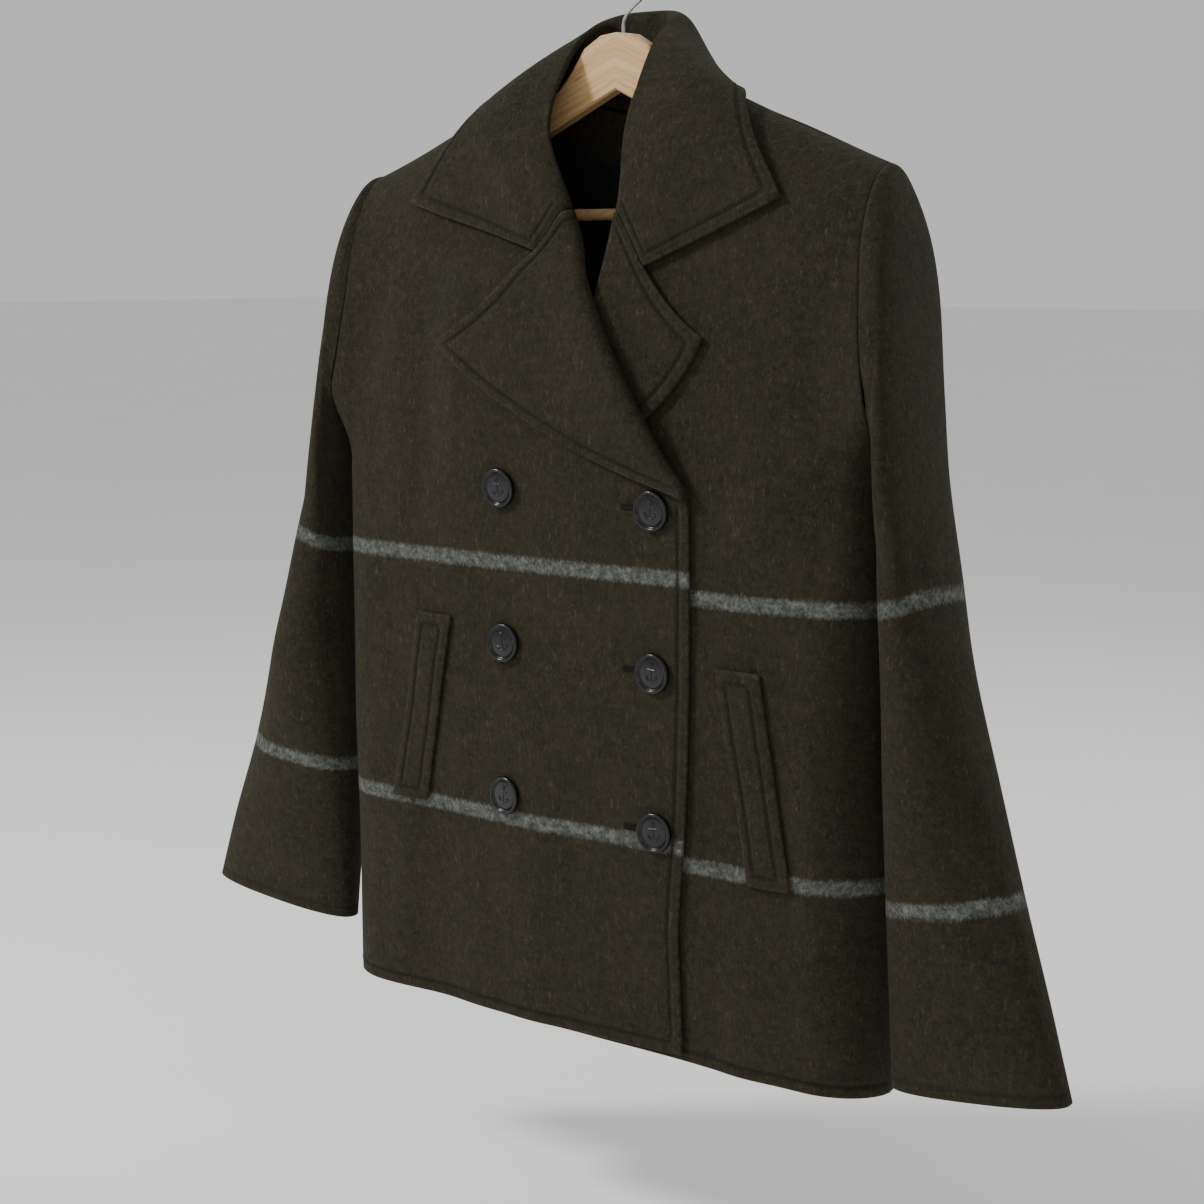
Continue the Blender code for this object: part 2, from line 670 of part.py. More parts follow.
def armhole_loop(side, angle):
    """Points and outward normals of the body's wall round the armhole, stepped out to the sleeve."""
    points, normals = [], []
    for a in angle:
        face = FRONT if math.sin(a) >= 0.0 else BACK
        edge = armhole(face)
        fall = (1.0 - math.cos(a)) / 2.0
        tip_z = shoulder_height(SHOULDER_TIP_X)
        z = tip_z + (UNDERARM_Z - tip_z) * fall
        across = np.interp(z, edge[:, 1], edge[:, 0])
        point, normal = cloth(side * across, min(z, tip_z - 1.0e-7), face, -CLOTH / 2.0)
        point[0] += side * (ARMHOLE_GAP + UNDERARM_STEP * fall ** 2)
        points.append(point)
        normals.append(normal)
    return np.array(points), np.array(normals)


def sleeve_ring(row, side, angle):
    """Flattened ring of the sleeve between its inner and outer edge."""
    inner_x, inner_z, outer_x, outer_z, middle_y, half_depth = row
    inner = np.array([side * inner_x, 0.0, inner_z])
    outer = np.array([side * outer_x, 0.0, outer_z])
    power = 2.0 / SLEEVE_SQUARENESS
    wide = np.sign(np.cos(angle)) * np.abs(np.cos(angle)) ** power
    deep = np.sign(np.sin(angle)) * np.abs(np.sin(angle)) ** power
    ring = (inner + outer) / 2.0 + wide[:, None] * (outer - inner) / 2.0
    ring[:, 1] = middle_y - half_depth * deep
    return ring


def sleeve_grid(side):
    """Middle surface of a sleeve: rings from the armhole to the cuff."""
    angle = np.linspace(0.0, 2.0 * math.pi, SLEEVE_COLUMNS + 1)[:-1]
    loop, _ = armhole_loop(side, angle)
    last = len(SLEEVE_ROWS) - 1
    rings = [loop]
    for k, row in enumerate(SLEEVE_ROWS):
        ring = sleeve_ring(row, side, angle)
        ring[:, 2] += CUFF_DROP[side] * (k / last) ** 2
        ring[:, 0] += side * CUFF_SWING[side] * smooth((k - 3) / (last - 3)) * (np.cos(angle) + 1.0) / 2.0
        lift = 0.0 * angle
        for at, reach, place, rise in SLEEVE_FOLD_ROWS:
            off = (angle - place + math.pi) % (2.0 * math.pi) - math.pi
            lift += rise * math.exp(-((k - at) / reach) ** 2) * np.exp(-(off / 0.45) ** 2)
        ring[:, 0] += side_shift(ring[:, 2])
        centre = ring.mean(axis=0)
        spoke = ring - centre
        ring += spoke / np.linalg.norm(spoke, axis=1, keepdims=True) * lift[:, None]
        if k == 0:
            ring = 0.35 * loop + 0.65 * ring
        rings.append(ring)
    return np.array(rings), angle


def ring_normals(middle, side):
    """Outward normals of a stack of closed rings."""
    around = np.roll(middle, -1, axis=1) - np.roll(middle, 1, axis=1)
    down = np.gradient(middle, axis=0, edge_order=2)
    normal = np.cross(around, down) * side
    return normal / np.linalg.norm(normal, axis=2, keepdims=True)


def make_sleeve(label, collection, side):
    """A two-piece sleeve: the top sleeve in front, the under sleeve behind."""
    middle, angle = sleeve_grid(side)
    normal = ring_normals(middle, side)
    hold = smooth((np.cos(angle) + 0.5) / 0.8)[:, None]
    normal[0] = armhole_loop(side, angle)[1] * hold + normal[0] * (1.0 - hold)
    normal[1:4] = normal[0:3] + 2.0 * normal[1:4] + normal[2:5]
    normal /= np.linalg.norm(normal, axis=2, keepdims=True)
    around = np.roll(middle, -1, axis=1) - np.roll(middle, 1, axis=1)
    run = np.gradient(middle, axis=0)
    run /= np.linalg.norm(run, axis=2, keepdims=True)
    around -= (around * run).sum(axis=2, keepdims=True) * run
    around /= np.linalg.norm(around, axis=2, keepdims=True)
    low = int(np.argmin(np.abs(angle - UNDER_SLEEVE_FROM)))
    high = int(np.argmin(np.abs(angle - UNDER_SLEEVE_TO)))
    pieces = (
        ("sleeve_under_" + label, list(range(low, high + 1))),
        ("sleeve_top_" + label, list(range(high, len(angle))) + list(range(0, low + 1))),
    )
    for name, columns in pieces:
        part, face = middle[:, columns].copy(), normal[:, columns]
        part[:, 0] += around[:, columns[0]] * SLEEVE_SEAM_GAP / 2.0
        part[:, -1] -= around[:, columns[-1]] * SLEEVE_SEAM_GAP / 2.0
        wall(name, collection, "wool", part, face, CLOTH)


def make_welt(name, collection, panel, top, bottom):
    """Pocket welt lying on its front, open towards the side seam."""
    tree = seat_tree(panel)
    share = np.linspace(0.0, 1.0, 7)[:, None, None]
    middle_line = np.array(top) * (1.0 - share) + np.array(bottom) * share
    places = np.repeat(middle_line, 4, axis=1)
    places[..., 0] += np.linspace(-0.5, 0.5, 4)[None, :] * WELT_WIDTH
    laid, normal = cloth(places[..., 0], places[..., 1], FRONT, 0.0)
    laid = np.array([[on_front(tree, point[0], point[2]) for point in row] for row in laid])
    wall(name, collection, "wool", laid + normal * (WELT_GAP + WELT_CLOTH / 2.0), normal, WELT_CLOTH)


def button_seat(tree, across, z):
    """Place and facing of a button, clear of every rise of the cloth under it."""
    centre = cloth(across, z, FRONT, 0.0)[0]
    turns = np.linspace(0.0, 2.0 * math.pi, 12, endpoint=False)
    rim = [on_front(tree, centre[0] + BUTTON_FOOT * math.cos(a), z + BUTTON_FOOT * math.sin(a))
           for a in turns]
    facing = np.cross(rim[0] - rim[6], rim[3] - rim[9])
    facing *= -np.sign(facing[1]) / np.linalg.norm(facing)
    middle = on_front(tree, centre[0], z)
    rise = max(float((point - middle) @ facing) for point in rim + [middle])
    return Vector(middle + facing * (rise + BUTTON_GAP)), Vector(facing)


def make_buttons(collection, panel):
    """Turned buttons, each seated on the overlapping front."""
    tree = seat_tree(panel)
    mesh = bpy.data.meshes.new("button_profile")
    points = [(x, 0.0, z) for x, z in BUTTON_PROFILE]
    mesh.from_pydata(points, [(k, k + 1) for k in range(len(points) - 1)], [])
    number = 0
    for row in range(BUTTON_ROW_COUNT):
        for x, top in BUTTON_COLUMNS:
            z = top - row * BUTTON_ROW_STEP
            number += 1
            item = bpy.data.objects.new("button_%d" % number, mesh.copy())
            turned = item.modifiers.new("turned", "SCREW")
            turned.axis = "Z"
            turned.steps = BUTTON_STEPS
            turned.render_steps = BUTTON_STEPS
            turned.use_merge_vertices = True
            turned.merge_threshold = 0.00005
            item.location, facing = button_seat(tree, x, z)
            item.rotation_mode = "QUATERNION"
            item.rotation_quaternion = Vector((0.0, 0.0, 1.0)).rotation_difference(facing)
            finish(item, collection, "button")
    bpy.data.meshes.remove(mesh)


def curve_to_mesh(item):
    """A mesh object in place of a curve, its caps welded on."""
    depsgraph = bpy.context.evaluated_depsgraph_get()
    depsgraph.update()
    mesh = bpy.data.meshes.new_from_object(item.evaluated_get(depsgraph))
    shell = bmesh.new()
    shell.from_mesh(mesh)
    bmesh.ops.remove_doubles(shell, verts=shell.verts, dist=0.00001)
    bmesh.ops.recalc_face_normals(shell, faces=shell.faces)
    shell.to_mesh(mesh)
    shell.free()
    made = bpy.data.objects.new(item.name + "_mesh", mesh)
    made.matrix_world = item.matrix_world.copy()
    bpy.data.objects.remove(item, do_unlink=True)
    return made


def hanger_outline():
    """Half outline of the hanger, from the top middle round its end to the apex below."""
    points = list(HANGER_TOP)
    for x in np.linspace(HANGER_SHOULDER_FROM, HANGER_SHOULDER_TO, 4):
        points.append((float(x), float(shoulder_height(x)) - HANGER_CLEARANCE))
    return points + list(HANGER_END) + list(HANGER_UNDERSIDE)


def make_hanger_body(collection, cutters):
    """Flat wooden hanger, its edges chamfered, with a bore for the hook."""
    half = hanger_outline()
    mirrored = [(-x, z) for x, z in reversed(half[1:-1])]
    outline = bpy.data.curves.new("hanger_outline", "CURVE")
    outline.dimensions = "2D"
    outline.fill_mode = "BOTH"
    outline.extrude = HANGER_THICKNESS / 2.0 - HANGER_CHAMFER
    outline.bevel_depth = HANGER_CHAMFER
    outline.bevel_resolution = 0
    outline.offset = -HANGER_CHAMFER
    spline = outline.splines.new("POLY")
    spline.points.add(len(half) + len(mirrored) - 1)
    for point, (x, z) in zip(spline.points, half + mirrored):
        point.co = (x, z, 0.0, 1.0)
    spline.use_cyclic_u = True
    flat = bpy.data.objects.new("hanger_outline", outline)
    cutters.objects.link(flat)
    flat.rotation_euler = (math.radians(90.0), 0.0, 0.0)
    body = curve_to_mesh(flat)
    body.name = "hanger_body"
    drill(body, cutters, "hook_bore", BORE_RADIUS, BORE_DEPTH,
          (HOOK_STEM_X, 0.0, HOOK_STEM_FOOT_Z - BORE_END_GAP + BORE_DEPTH / 2.0), 0.0)
    drill(body, cutters, "bar_bore", BAR_BORE_RADIUS, 2.0 * (BAR_HALF_LENGTH + BORE_END_GAP),
          (0.0, 0.0, BAR_Z), math.radians(90.0))
    finish(body, collection, "wood", smoothed=False)


def drill(body, cutters, name, radius, length, place, tilt):
    """Cut a round bore with a cylinder that stays out of the model."""
    bpy.ops.mesh.primitive_cylinder_add(vertices=16, radius=radius, depth=length,
                                        location=place, rotation=(0.0, tilt, 0.0))
    bore = bpy.context.active_object
    bore.name = name
    bore.hide_render = True
    bore.display_type = "WIRE"
    for owner in list(bore.users_collection):
        owner.objects.unlink(bore)
    cutters.objects.link(bore)
    drilled = body.modifiers.new(name, "BOOLEAN")
    drilled.object = bore
    drilled.operation = "DIFFERENCE"


def make_hanger_bar(collection):
    """Round bar between the hanger's arms, its ends in their bores."""
    bpy.ops.mesh.primitive_cylinder_add(vertices=16, radius=BAR_RADIUS, depth=2.0 * BAR_HALF_LENGTH,
                                        location=(0.0, 0.0, BAR_Z),
                                        rotation=(0.0, math.radians(90.0), 0.0))
    bar = bpy.context.active_object
    bar.name = "hanger_bar"
    for owner in list(bar.users_collection):
        owner.objects.unlink(bar)
    finish(bar, collection, "wood")


def hook_route():
    """Centre line of the hook: stem, bend, then the round of the hook."""
    centre_z = -(HOOK_RADIUS - WIRE_RADIUS)
    stem = [(HOOK_STEM_X, HOOK_STEM_FOOT_Z), (HOOK_STEM_X, HOOK_STEM_TOP_Z - 0.004)]
    angles = np.linspace(HOOK_FROM, HOOK_TO, 22)
    round_part = [(HOOK_RADIUS * math.cos(a), centre_z + HOOK_RADIUS * math.sin(a)) for a in angles]
    bend = bow((HOOK_STEM_X, HOOK_STEM_TOP_Z), (HOOK_STEM_X, HOOK_BEND_Z), round_part[0], 4)
    return stem + [tuple(p) for p in bend[:-1]] + round_part


def make_hook(collection):
    """Round steel wire hook, its foot in the hanger's bore."""
    route = hook_route()
    wire = bpy.data.curves.new("hanger_hook", "CURVE")
    wire.dimensions = "3D"
    wire.bevel_depth = WIRE_RADIUS
    wire.bevel_resolution = 2
    wire.use_fill_caps = True
    spline = wire.splines.new("POLY")
    spline.points.add(len(route) - 1)
    for point, (x, z) in zip(spline.points, route):
        point.co = (x, 0.0, z, 1.0)
    finish(bpy.data.objects.new("hanger_hook", wire), collection, "steel", smoothed=False)


def main():
    """Build the coat and its hanger."""
    clear_scene()
    coat = make_collection("military_pea_coat")
    cutters = make_collection("cutters")
    right_line = (RIGHT_BREAK, RIGHT_ROLL_BOW, RIGHT_GORGE)
    left_line = (LEFT_BREAK, LEFT_ROLL_BOW, LEFT_GORGE)
    fronts = {
        -1.0: make_front("front_right", coat, -1.0, inner_edge(1, *right_line, -1.0), True),
        1.0: make_front("front_left", coat, 1.0, inner_edge(2, *left_line, 1.0), False),
    }
    back = make_back(coat)
    make_back_lining(coat)
    make_lapel("lapel_right", coat, -1.0, right_line, RIGHT_NOTCH, RIGHT_TIP, RIGHT_LAPEL_BOW,
               RIGHT_ROLL_RADIUS, top_front_lift)
    make_lapel("lapel_left", coat, 1.0, left_line, LEFT_NOTCH, LEFT_TIP, LEFT_LAPEL_BOW,
               LEFT_ROLL_RADIUS, no_lift)
    make_collar(coat, back, fronts.values())
    make_sleeve("right", coat, -1.0)
    make_sleeve("left", coat, 1.0)
    for name, side, top, bottom in WELT_ROWS:
        make_welt(name, coat, fronts[side], top, bottom)
    make_buttons(coat, fronts[-1.0])
    make_hanger_body(coat, cutters)
    make_hanger_bar(coat)
    make_hook(coat)


main()
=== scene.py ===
"""Looks of a double-breasted military pea coat hanging on a wooden hanger.

The frame holds the coat's plain solids. Each piece of cloth is built again here
on the same form with finer folds, rounded edges and woven finishes, and stands
for its solid. Metres, +Z up, front at -Y, the wearer's left at +X.
"""
import math

import bmesh
import bpy
import numpy as np
from mathutils import Matrix, Vector
from mathutils.bvhtree import BVHTree


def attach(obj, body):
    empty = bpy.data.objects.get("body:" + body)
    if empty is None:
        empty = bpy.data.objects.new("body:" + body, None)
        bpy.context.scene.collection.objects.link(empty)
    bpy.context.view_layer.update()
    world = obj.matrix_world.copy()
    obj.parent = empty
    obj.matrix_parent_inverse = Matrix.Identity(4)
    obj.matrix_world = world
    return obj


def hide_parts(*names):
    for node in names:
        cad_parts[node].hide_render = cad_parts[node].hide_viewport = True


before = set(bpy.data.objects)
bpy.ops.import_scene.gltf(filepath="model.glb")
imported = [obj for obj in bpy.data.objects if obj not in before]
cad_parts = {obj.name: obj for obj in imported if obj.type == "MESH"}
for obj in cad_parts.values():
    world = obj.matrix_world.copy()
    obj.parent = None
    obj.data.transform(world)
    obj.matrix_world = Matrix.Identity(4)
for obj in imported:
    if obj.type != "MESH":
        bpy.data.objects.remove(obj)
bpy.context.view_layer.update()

bl_info = {
    "name": "Military pea coat",
    "version": (1, 0, 0),
    "blender": (4, 5, 0),
    "location": "3D View > Sidebar > Pea coat",
    "description": "Builds the cloth, buttons and finishes of a pea coat on its hanger",
    "category": "Add Mesh",
}

# Cloth
CLOTH = 0.003
COLLAR_CLOTH = 0.004
WELT_CLOTH = 0.0025
LINING_CLOTH = 0.001
LINING_GAP = 0.0020
SEAM_GAP = 0.0003
FRONT = -1.0
BACK = 1.0
FORWARD = np.array([0.0, -1.0, 0.0])

# Body of the coat
HEM_Z = -0.850
LEFT_HEM_DROP = 0.010
UNDERARM_Z = -0.412
NECK_POINT_X = 0.075
NECK_POINT_Z = -0.112
SHOULDER_TIP_X = 0.242
SHOULDER_SLOPE = 0.395
SHOULDER_ROLL = 0.070
BODY_HALF_WIDTH = 0.262
BODY_SIDE_SHIFT = -0.007
SHOULDER_WIDEN = 0.072
ARMHOLE_BLEND = 0.12
CORNER = 0.052
CROWN = 0.12
BACK_NECK_DROP = 0.024

# Depth of the hanging coat: height, front depth, back depth
DEPTH_ROWS = (
    (-0.860, 0.044, 0.032),
    (-0.620, 0.049, 0.036),
    (-0.420, 0.053, 0.038),
    (-0.300, 0.048, 0.037),
    (-0.200, 0.038, 0.034),
    (-0.100, 0.033, 0.030),
)

# Largest folds: face, across, lean, top, bottom, width, rise
FOLD_ROWS = (
    (FRONT, -0.215, 0.05, -0.235, -0.500, 0.026, -0.0045),
    (FRONT, -0.170, -0.10, -0.300, -0.620, 0.030, 0.0025),
    (FRONT, -0.030, 0.06, -0.600, -0.900, 0.032, 0.0035),
    (FRONT, -0.130, -0.05, -0.640, -0.900, 0.030, -0.0030),
    (FRONT, 0.215, -0.04, -0.240, -0.520, 0.026, -0.0045),
    (FRONT, 0.170, 0.08, -0.330, -0.640, 0.030, 0.0025),
    (FRONT, 0.165, 0.05, -0.700, -0.900, 0.030, 0.0040),
    (BACK, -0.208, 0.04, -0.240, -0.560, 0.028, -0.0045),
    (BACK, -0.120, -0.06, -0.300, -0.900, 0.030, 0.0040),
    (BACK, 0.015, 0.03, -0.420, -0.900, 0.034, -0.0040),
    (BACK, 0.135, 0.05, -0.260, -0.900, 0.028, 0.0045),
    (BACK, 0.208, -0.05, -0.240, -0.540, 0.028, -0.0045),
)

# Front edges: height, across on the overlapping front, across on the front under it
EDGE_ROWS = (
    (-0.860, 0.107, -0.088),
    (-0.750, 0.104, -0.088),
    (-0.660, 0.112, -0.088),
    (-0.560, 0.117, -0.088),
    (-0.470, 0.117, -0.088),
)

# Roll lines, gorges and lapels, as (across, height)
RIGHT_BREAK = (0.117, -0.420)
RIGHT_ROLL_BOW = (0.040, -0.330)
RIGHT_GORGE = (-0.016, -0.212)
RIGHT_NOTCH = (-0.036, -0.240)
RIGHT_TIP = (-0.131, -0.311)
RIGHT_LAPEL_BOW = (-0.024, -0.384)
LEFT_BREAK = (-0.010, -0.368)
LEFT_ROLL_BOW = (0.024, -0.300)
LEFT_GORGE = (0.036, -0.212)
LEFT_NOTCH = (0.062, -0.251)
LEFT_TIP = (0.121, -0.303)
LEFT_LAPEL_BOW = (0.073, -0.402)
NECK_BOW = (0.056, -0.165)
RIGHT_ROLL_RADIUS = 0.0055
LEFT_ROLL_RADIUS = 0.0035
BREAK_ROLL_RADIUS = 0.0024
LAPEL_EDGE_OUT = 0.0036
LAPEL_TOP_SAG = 0.006
EDGE_GAP = 0.0006
GORGE_GAP = 0.0016
OVERLAP_LIFT = 0.0045
LAPEL_LIFT = 0.0070

# Collar stations: name, roll (x, y, z), edge across, edge height, edge face
COLLAR_ROWS = (
    ("centre back", (0.004, 0.040, -0.058), 0.000, -0.152, BACK),
    ("back", (0.026, 0.034, -0.060), 0.050, -0.150, BACK),
    ("side back", (0.038, 0.014, -0.070), 0.088, -0.139, BACK),
    ("side", (0.041, -0.013, -0.092), 0.118, -0.1305, FRONT),
    ("front", (0.042, -0.041, -0.146), 0.147, -0.163, FRONT),
)
COLLAR_TIP = (0.176, -0.203)
COLLAR_EDGE_OUT = 0.0058
COLLAR_TURN = 0.016
COLLAR_BULGE = 0.010
FALL_CLEAR = 0.0044
STAND_CLEAR = 0.0030
COLLAR_REACH = 0.0055
CLEARING_PASSES = 3
NECK_GAP = 0.0040
NECK_STATIONS = (0.0, 0.5, 0.95)

# Sleeve rings: inner x, inner z, outer x, outer z, middle y, half depth
SLEEVE_ROWS = (
    (0.2670, -0.4150, 0.2520, -0.1860, -0.008, 0.0430),
    (0.2680, -0.4220, 0.2600, -0.2100, -0.008, 0.0440),
    (0.2685, -0.4320, 0.2680, -0.2520, -0.008, 0.0450),
    (0.2685, -0.4480, 0.2760, -0.3150, -0.008, 0.0450),
    (0.2685, -0.4720, 0.2860, -0.3850, -0.008, 0.0450),
    (0.2690, -0.5100, 0.3030, -0.4600, -0.009, 0.0450),
    (0.2690, -0.5650, 0.3240, -0.5350, -0.010, 0.0430),
    (0.2690, -0.6300, 0.3470, -0.6100, -0.011, 0.0400),
    (0.2700, -0.7000, 0.3710, -0.6850, -0.012, 0.0340),
    (0.2720, -0.7700, 0.3960, -0.7550, -0.013, 0.0260),
    (0.2750, -0.8350, 0.4170, -0.8200, -0.014, 0.0200),
)
SLEEVE_FOLD_ROWS = (
    (5.2, 0.9, 0.55, -0.0040),
    (6.6, 0.9, 1.55, 0.0035),
    (7.8, 1.0, 0.75, -0.0040),
    (6.2, 1.0, -0.80, -0.0040),
)
CUFF_DROP = {-1.0: 0.022, 1.0: -0.012}
CUFF_SWING = {-1.0: 0.016, 1.0: -0.002}
SLEEVE_SEAM_GAP = 0.0010
SLEEVE_SQUARENESS = 2.4
ARMHOLE_GAP = 0.0005
UNDERARM_STEP = 0.0040
UNDER_SLEEVE_FROM = 3.55
UNDER_SLEEVE_TO = 5.45

# Pocket welts: side, top middle, bottom middle, as (across, height)
WELT_ROWS = (
    ("welt_right", -1.0, (-0.134, -0.529), (-0.170, -0.685)),
    ("welt_left", 1.0, (0.160, -0.546), (0.186, -0.706)),
)
WELT_WIDTH = 0.037
WELT_GAP = 0.0010

# Buttons
BUTTON_COLUMNS = ((-0.061, -0.422), (0.086, -0.431))
BUTTON_ROW_STEP = 0.123
BUTTON_ROW_COUNT = 3
BUTTON_GAP = 0.0003
BUTTON_FOOT = 0.0145
# Mesh fineness
LOW_ROWS = 60
ROLL_ROWS = 36
NECK_ROWS = 10
ROLL_ANGLES = tuple(float(a) for a in np.linspace(1.20, 0.0045, 14))
FRONT_COLUMNS = 92
BACK_NECK_COLUMNS = 15
BACK_SHOULDER_COLUMNS = 38
STAND_COLUMNS = 9
LAPEL_ARC_COLUMNS = 18
COLLAR_FALL_COLUMNS = 33
GORGE_SHARE = 1.0 / 3.0
COLLAR_STEPS = 10
SLEEVE_COLUMNS = 88
SLEEVE_STEPS = 8

# Finer creases of the hanging cloth: face, across, lean, top, bottom, width, rise
CREASE_ROWS = (
    (FRONT, -0.232, 0.10, -0.250, -0.430, 0.010, -0.0018),
    (FRONT, -0.196, 0.22, -0.255, -0.400, 0.012, 0.0014),
    (FRONT, -0.150, 0.30, -0.330, -0.500, 0.011, -0.0012),
    (FRONT, -0.205, -0.12, -0.440, -0.640, 0.014, 0.0016),
    (FRONT, -0.090, 0.16, -0.560, -0.740, 0.014, -0.0012),
    (FRONT, -0.185, 0.10, -0.690, -0.870, 0.014, 0.0020),
    (FRONT, -0.075, -0.08, -0.700, -0.870, 0.013, -0.0018),
    (FRONT, 0.035, 0.10, -0.480, -0.640, 0.015, 0.0012),
    (FRONT, 0.052, -0.06, -0.680, -0.870, 0.015, -0.0016),
    (FRONT, 0.135, 0.12, -0.380, -0.560, 0.012, -0.0014),
    (FRONT, 0.205, -0.20, -0.270, -0.440, 0.011, 0.0016),
    (FRONT, 0.232, 0.14, -0.300, -0.520, 0.010, -0.0016),
    (FRONT, 0.218, -0.08, -0.560, -0.800, 0.014, 0.0016),
    (FRONT, 0.140, 0.05, -0.720, -0.880, 0.012, -0.0018),
    (BACK, -0.230, 0.12, -0.260, -0.440, 0.011, 0.0016),
    (BACK, -0.165, 0.24, -0.240, -0.470, 0.013, -0.0016),
    (BACK, -0.070, -0.10, -0.300, -0.600, 0.015, -0.0014),
    (BACK, -0.040, 0.05, -0.640, -0.880, 0.014, 0.0018),
    (BACK, 0.070, 0.14, -0.260, -0.520, 0.014, 0.0014),
    (BACK, 0.090, -0.05, -0.620, -0.880, 0.014, -0.0018),
    (BACK, 0.175, -0.22, -0.250, -0.480, 0.012, -0.0016),
    (BACK, 0.205, 0.08, -0.560, -0.860, 0.014, 0.0018),
)

# Woven stripes: heights of their middles on the right front, left front and back
STRIPES = {"right": (-0.481, -0.686), "left": (-0.495, -0.700), "back": (-0.489, -0.694)}
# On the sleeves: height at the outer edge and at the inner edge
SLEEVE_STRIPES = {
    -1.0: ((-0.468, -0.486), (-0.663, -0.676)),
    1.0: ((-0.481, -0.496), (-0.694, -0.711)),
}
# Distance that stands for no stripe or seam near
FAR = 1.0

# Lining: spacing of its ribs in millimetres, and one wave of the wave texture at a scale of 1
RIB_PITCH = 9.424778
WAVE_LENGTH = 2.0 * math.pi / 20.0
# Rows and columns of the back's grid that the lining leaves free at the hem and at each side
LINING_HEM_ROWS = 7
LINING_SIDE_COLUMNS = 9

# Edges, thread, welts and buttonholes
ALL_SIDES = ("first_column", "last_column", "first_row", "last_row")
# Lengths that topstitching leaves free at a side seam, at a lapel's break and below a front's break
SEAM_TRIM = 0.002
BREAK_TRIM = 0.020
EDGE_TRIM = 0.004
# Columns past the roll's arc at which a lapel's stitched edge starts; a collar's starts twice as far on
FLAT_FROM = 4
EDGE_ROUND = 0.0010
THREAD = 0.0007
STRAND_SIDES = 6
WELT_LENGTH_ROWS = 44
WELT_COLUMNS = 13
WELT_PILLOW = 0.0012
BUTTONHOLE_LENGTH = 0.022
BUTTONHOLE_PITCH = 0.0009
BUTTONHOLE_REACH = 0.0026
BUTTONHOLE_ASIDE = 0.017

# Buttons: radius and height of each ring of the section, from the middle of the foot
BUTTON_STEPS = 64
BUTTON_SECTION = (
    (0.0136, 0.0000),
    (0.0150, 0.0004),
    (0.0156, 0.0016),
    (0.0156, 0.0030),
    (0.0151, 0.0040),
    (0.0144, 0.0044),
    (0.0136, 0.0044),
    (0.0130, 0.0040),
    (0.0124, 0.0031),
    (0.0118, 0.0027),
    (0.0104, 0.0029),
    (0.0070, 0.0031),
    (0.0030, 0.0032),
)
BUTTON_FACE = 0.0030
BUTTON_SPIN = (4.0, -8.0, 11.0, -3.0, -12.0, 7.0)
BEADS = 40
BEAD_RING = 0.0112
BEAD_RADIUS = 0.00055
RELIEF = 0.00075
# Anchor on the button's face: end points, half sizes and places of its strokes
ANCHOR_SHANK = ((0.0, 0.0050), (0.0, -0.0058))
ANCHOR_STOCK = ((-0.0032, 0.0030), (0.0032, 0.0030))
ARMS_WIDTH = 0.0054
ARMS_DEPTH = 0.0052
ARMS_CENTRE = -0.0006
ARMS_TURN = 1.25
POINT_IN = 0.0018
POINT_DOWN = 0.0006
RING_SIZE = 0.0014
RING_CENTRE = 0.0062

# Sleeve creases: side, ring, reach along, angle, reach round, lean, rise
SLEEVE_CREASES = (
    (-1.0, 22.0, 5.0, 1.1, 0.50, 0.06, -0.0024),
    (-1.0, 34.0, 4.0, 1.9, 0.55, -0.07, 0.0022),
    (-1.0, 43.0, 3.5, 0.9, 0.60, 0.08, -0.0026),
    (-1.0, 50.0, 3.5, 1.9, 0.50, 0.05, -0.0022),
    (-1.0, 60.0, 4.0, 1.2, 0.60, -0.05, 0.0020),
    (-1.0, 72.0, 4.5, 1.7, 0.50, 0.06, -0.0018),
    (1.0, 20.0, 5.0, 1.3, 0.50, -0.06, -0.0024),
    (1.0, 31.0, 4.0, 0.8, 0.55, 0.07, 0.0022),
    (1.0, 41.0, 3.5, 1.7, 0.60, -0.06, -0.0028),
    (1.0, 49.0, 3.5, 0.9, 0.55, 0.08, -0.0024),
    (1.0, 58.0, 4.0, 1.6, 0.60, 0.05, 0.0022),
    (1.0, 70.0, 4.5, 1.0, 0.50, -0.06, -0.0018),
    (-1.0, 30.0, 4.5, 4.4, 0.60, 0.06, -0.0022),
    (-1.0, 47.0, 4.0, 4.8, 0.60, -0.06, -0.0022),
    (1.0, 28.0, 4.5, 4.8, 0.60, -0.06, -0.0022),
    (1.0, 46.0, 4.0, 4.3, 0.60, 0.06, -0.0022),
)

# Stage
FLOOR_Z = -1.05
FLOOR_SIZE = 30.0
SKY_STRENGTH = 0.62
LAMP_AIM = (0.0, 0.0, -0.45)
LAMPS = (
    ("key", (-2.0, -2.0, 1.6), 105.0, 0.6),
    ("fill", (2.0, -2.4, 0.4), 6.0, 1.6),
    ("rim", (0.6, 2.2, 1.4), 26.0, 1.2),
)
CAMERA_EYE = (1.1587, -1.5058, -0.24)
CAMERA_AZIMUTH = 38.0
CAMERA_TILT = 8.2
CAMERA_LENS = 72.8
CAMERA_SENSOR = 36.0


def smooth(value):
    """Ease from 0 to 1."""
    value = np.clip(value, 0.0, 1.0)
    return value * value * (3.0 - 2.0 * value)


def bow(start, middle, end, steps):
    """Points along a curve drawn from start to end towards a middle handle."""
    t = np.linspace(0.0, 1.0, steps + 1)[:, None]
    start, middle, end = np.array(start), np.array(middle), np.array(end)
    return (1.0 - t) ** 2 * start + 2.0 * t * (1.0 - t) * middle + t ** 2 * end


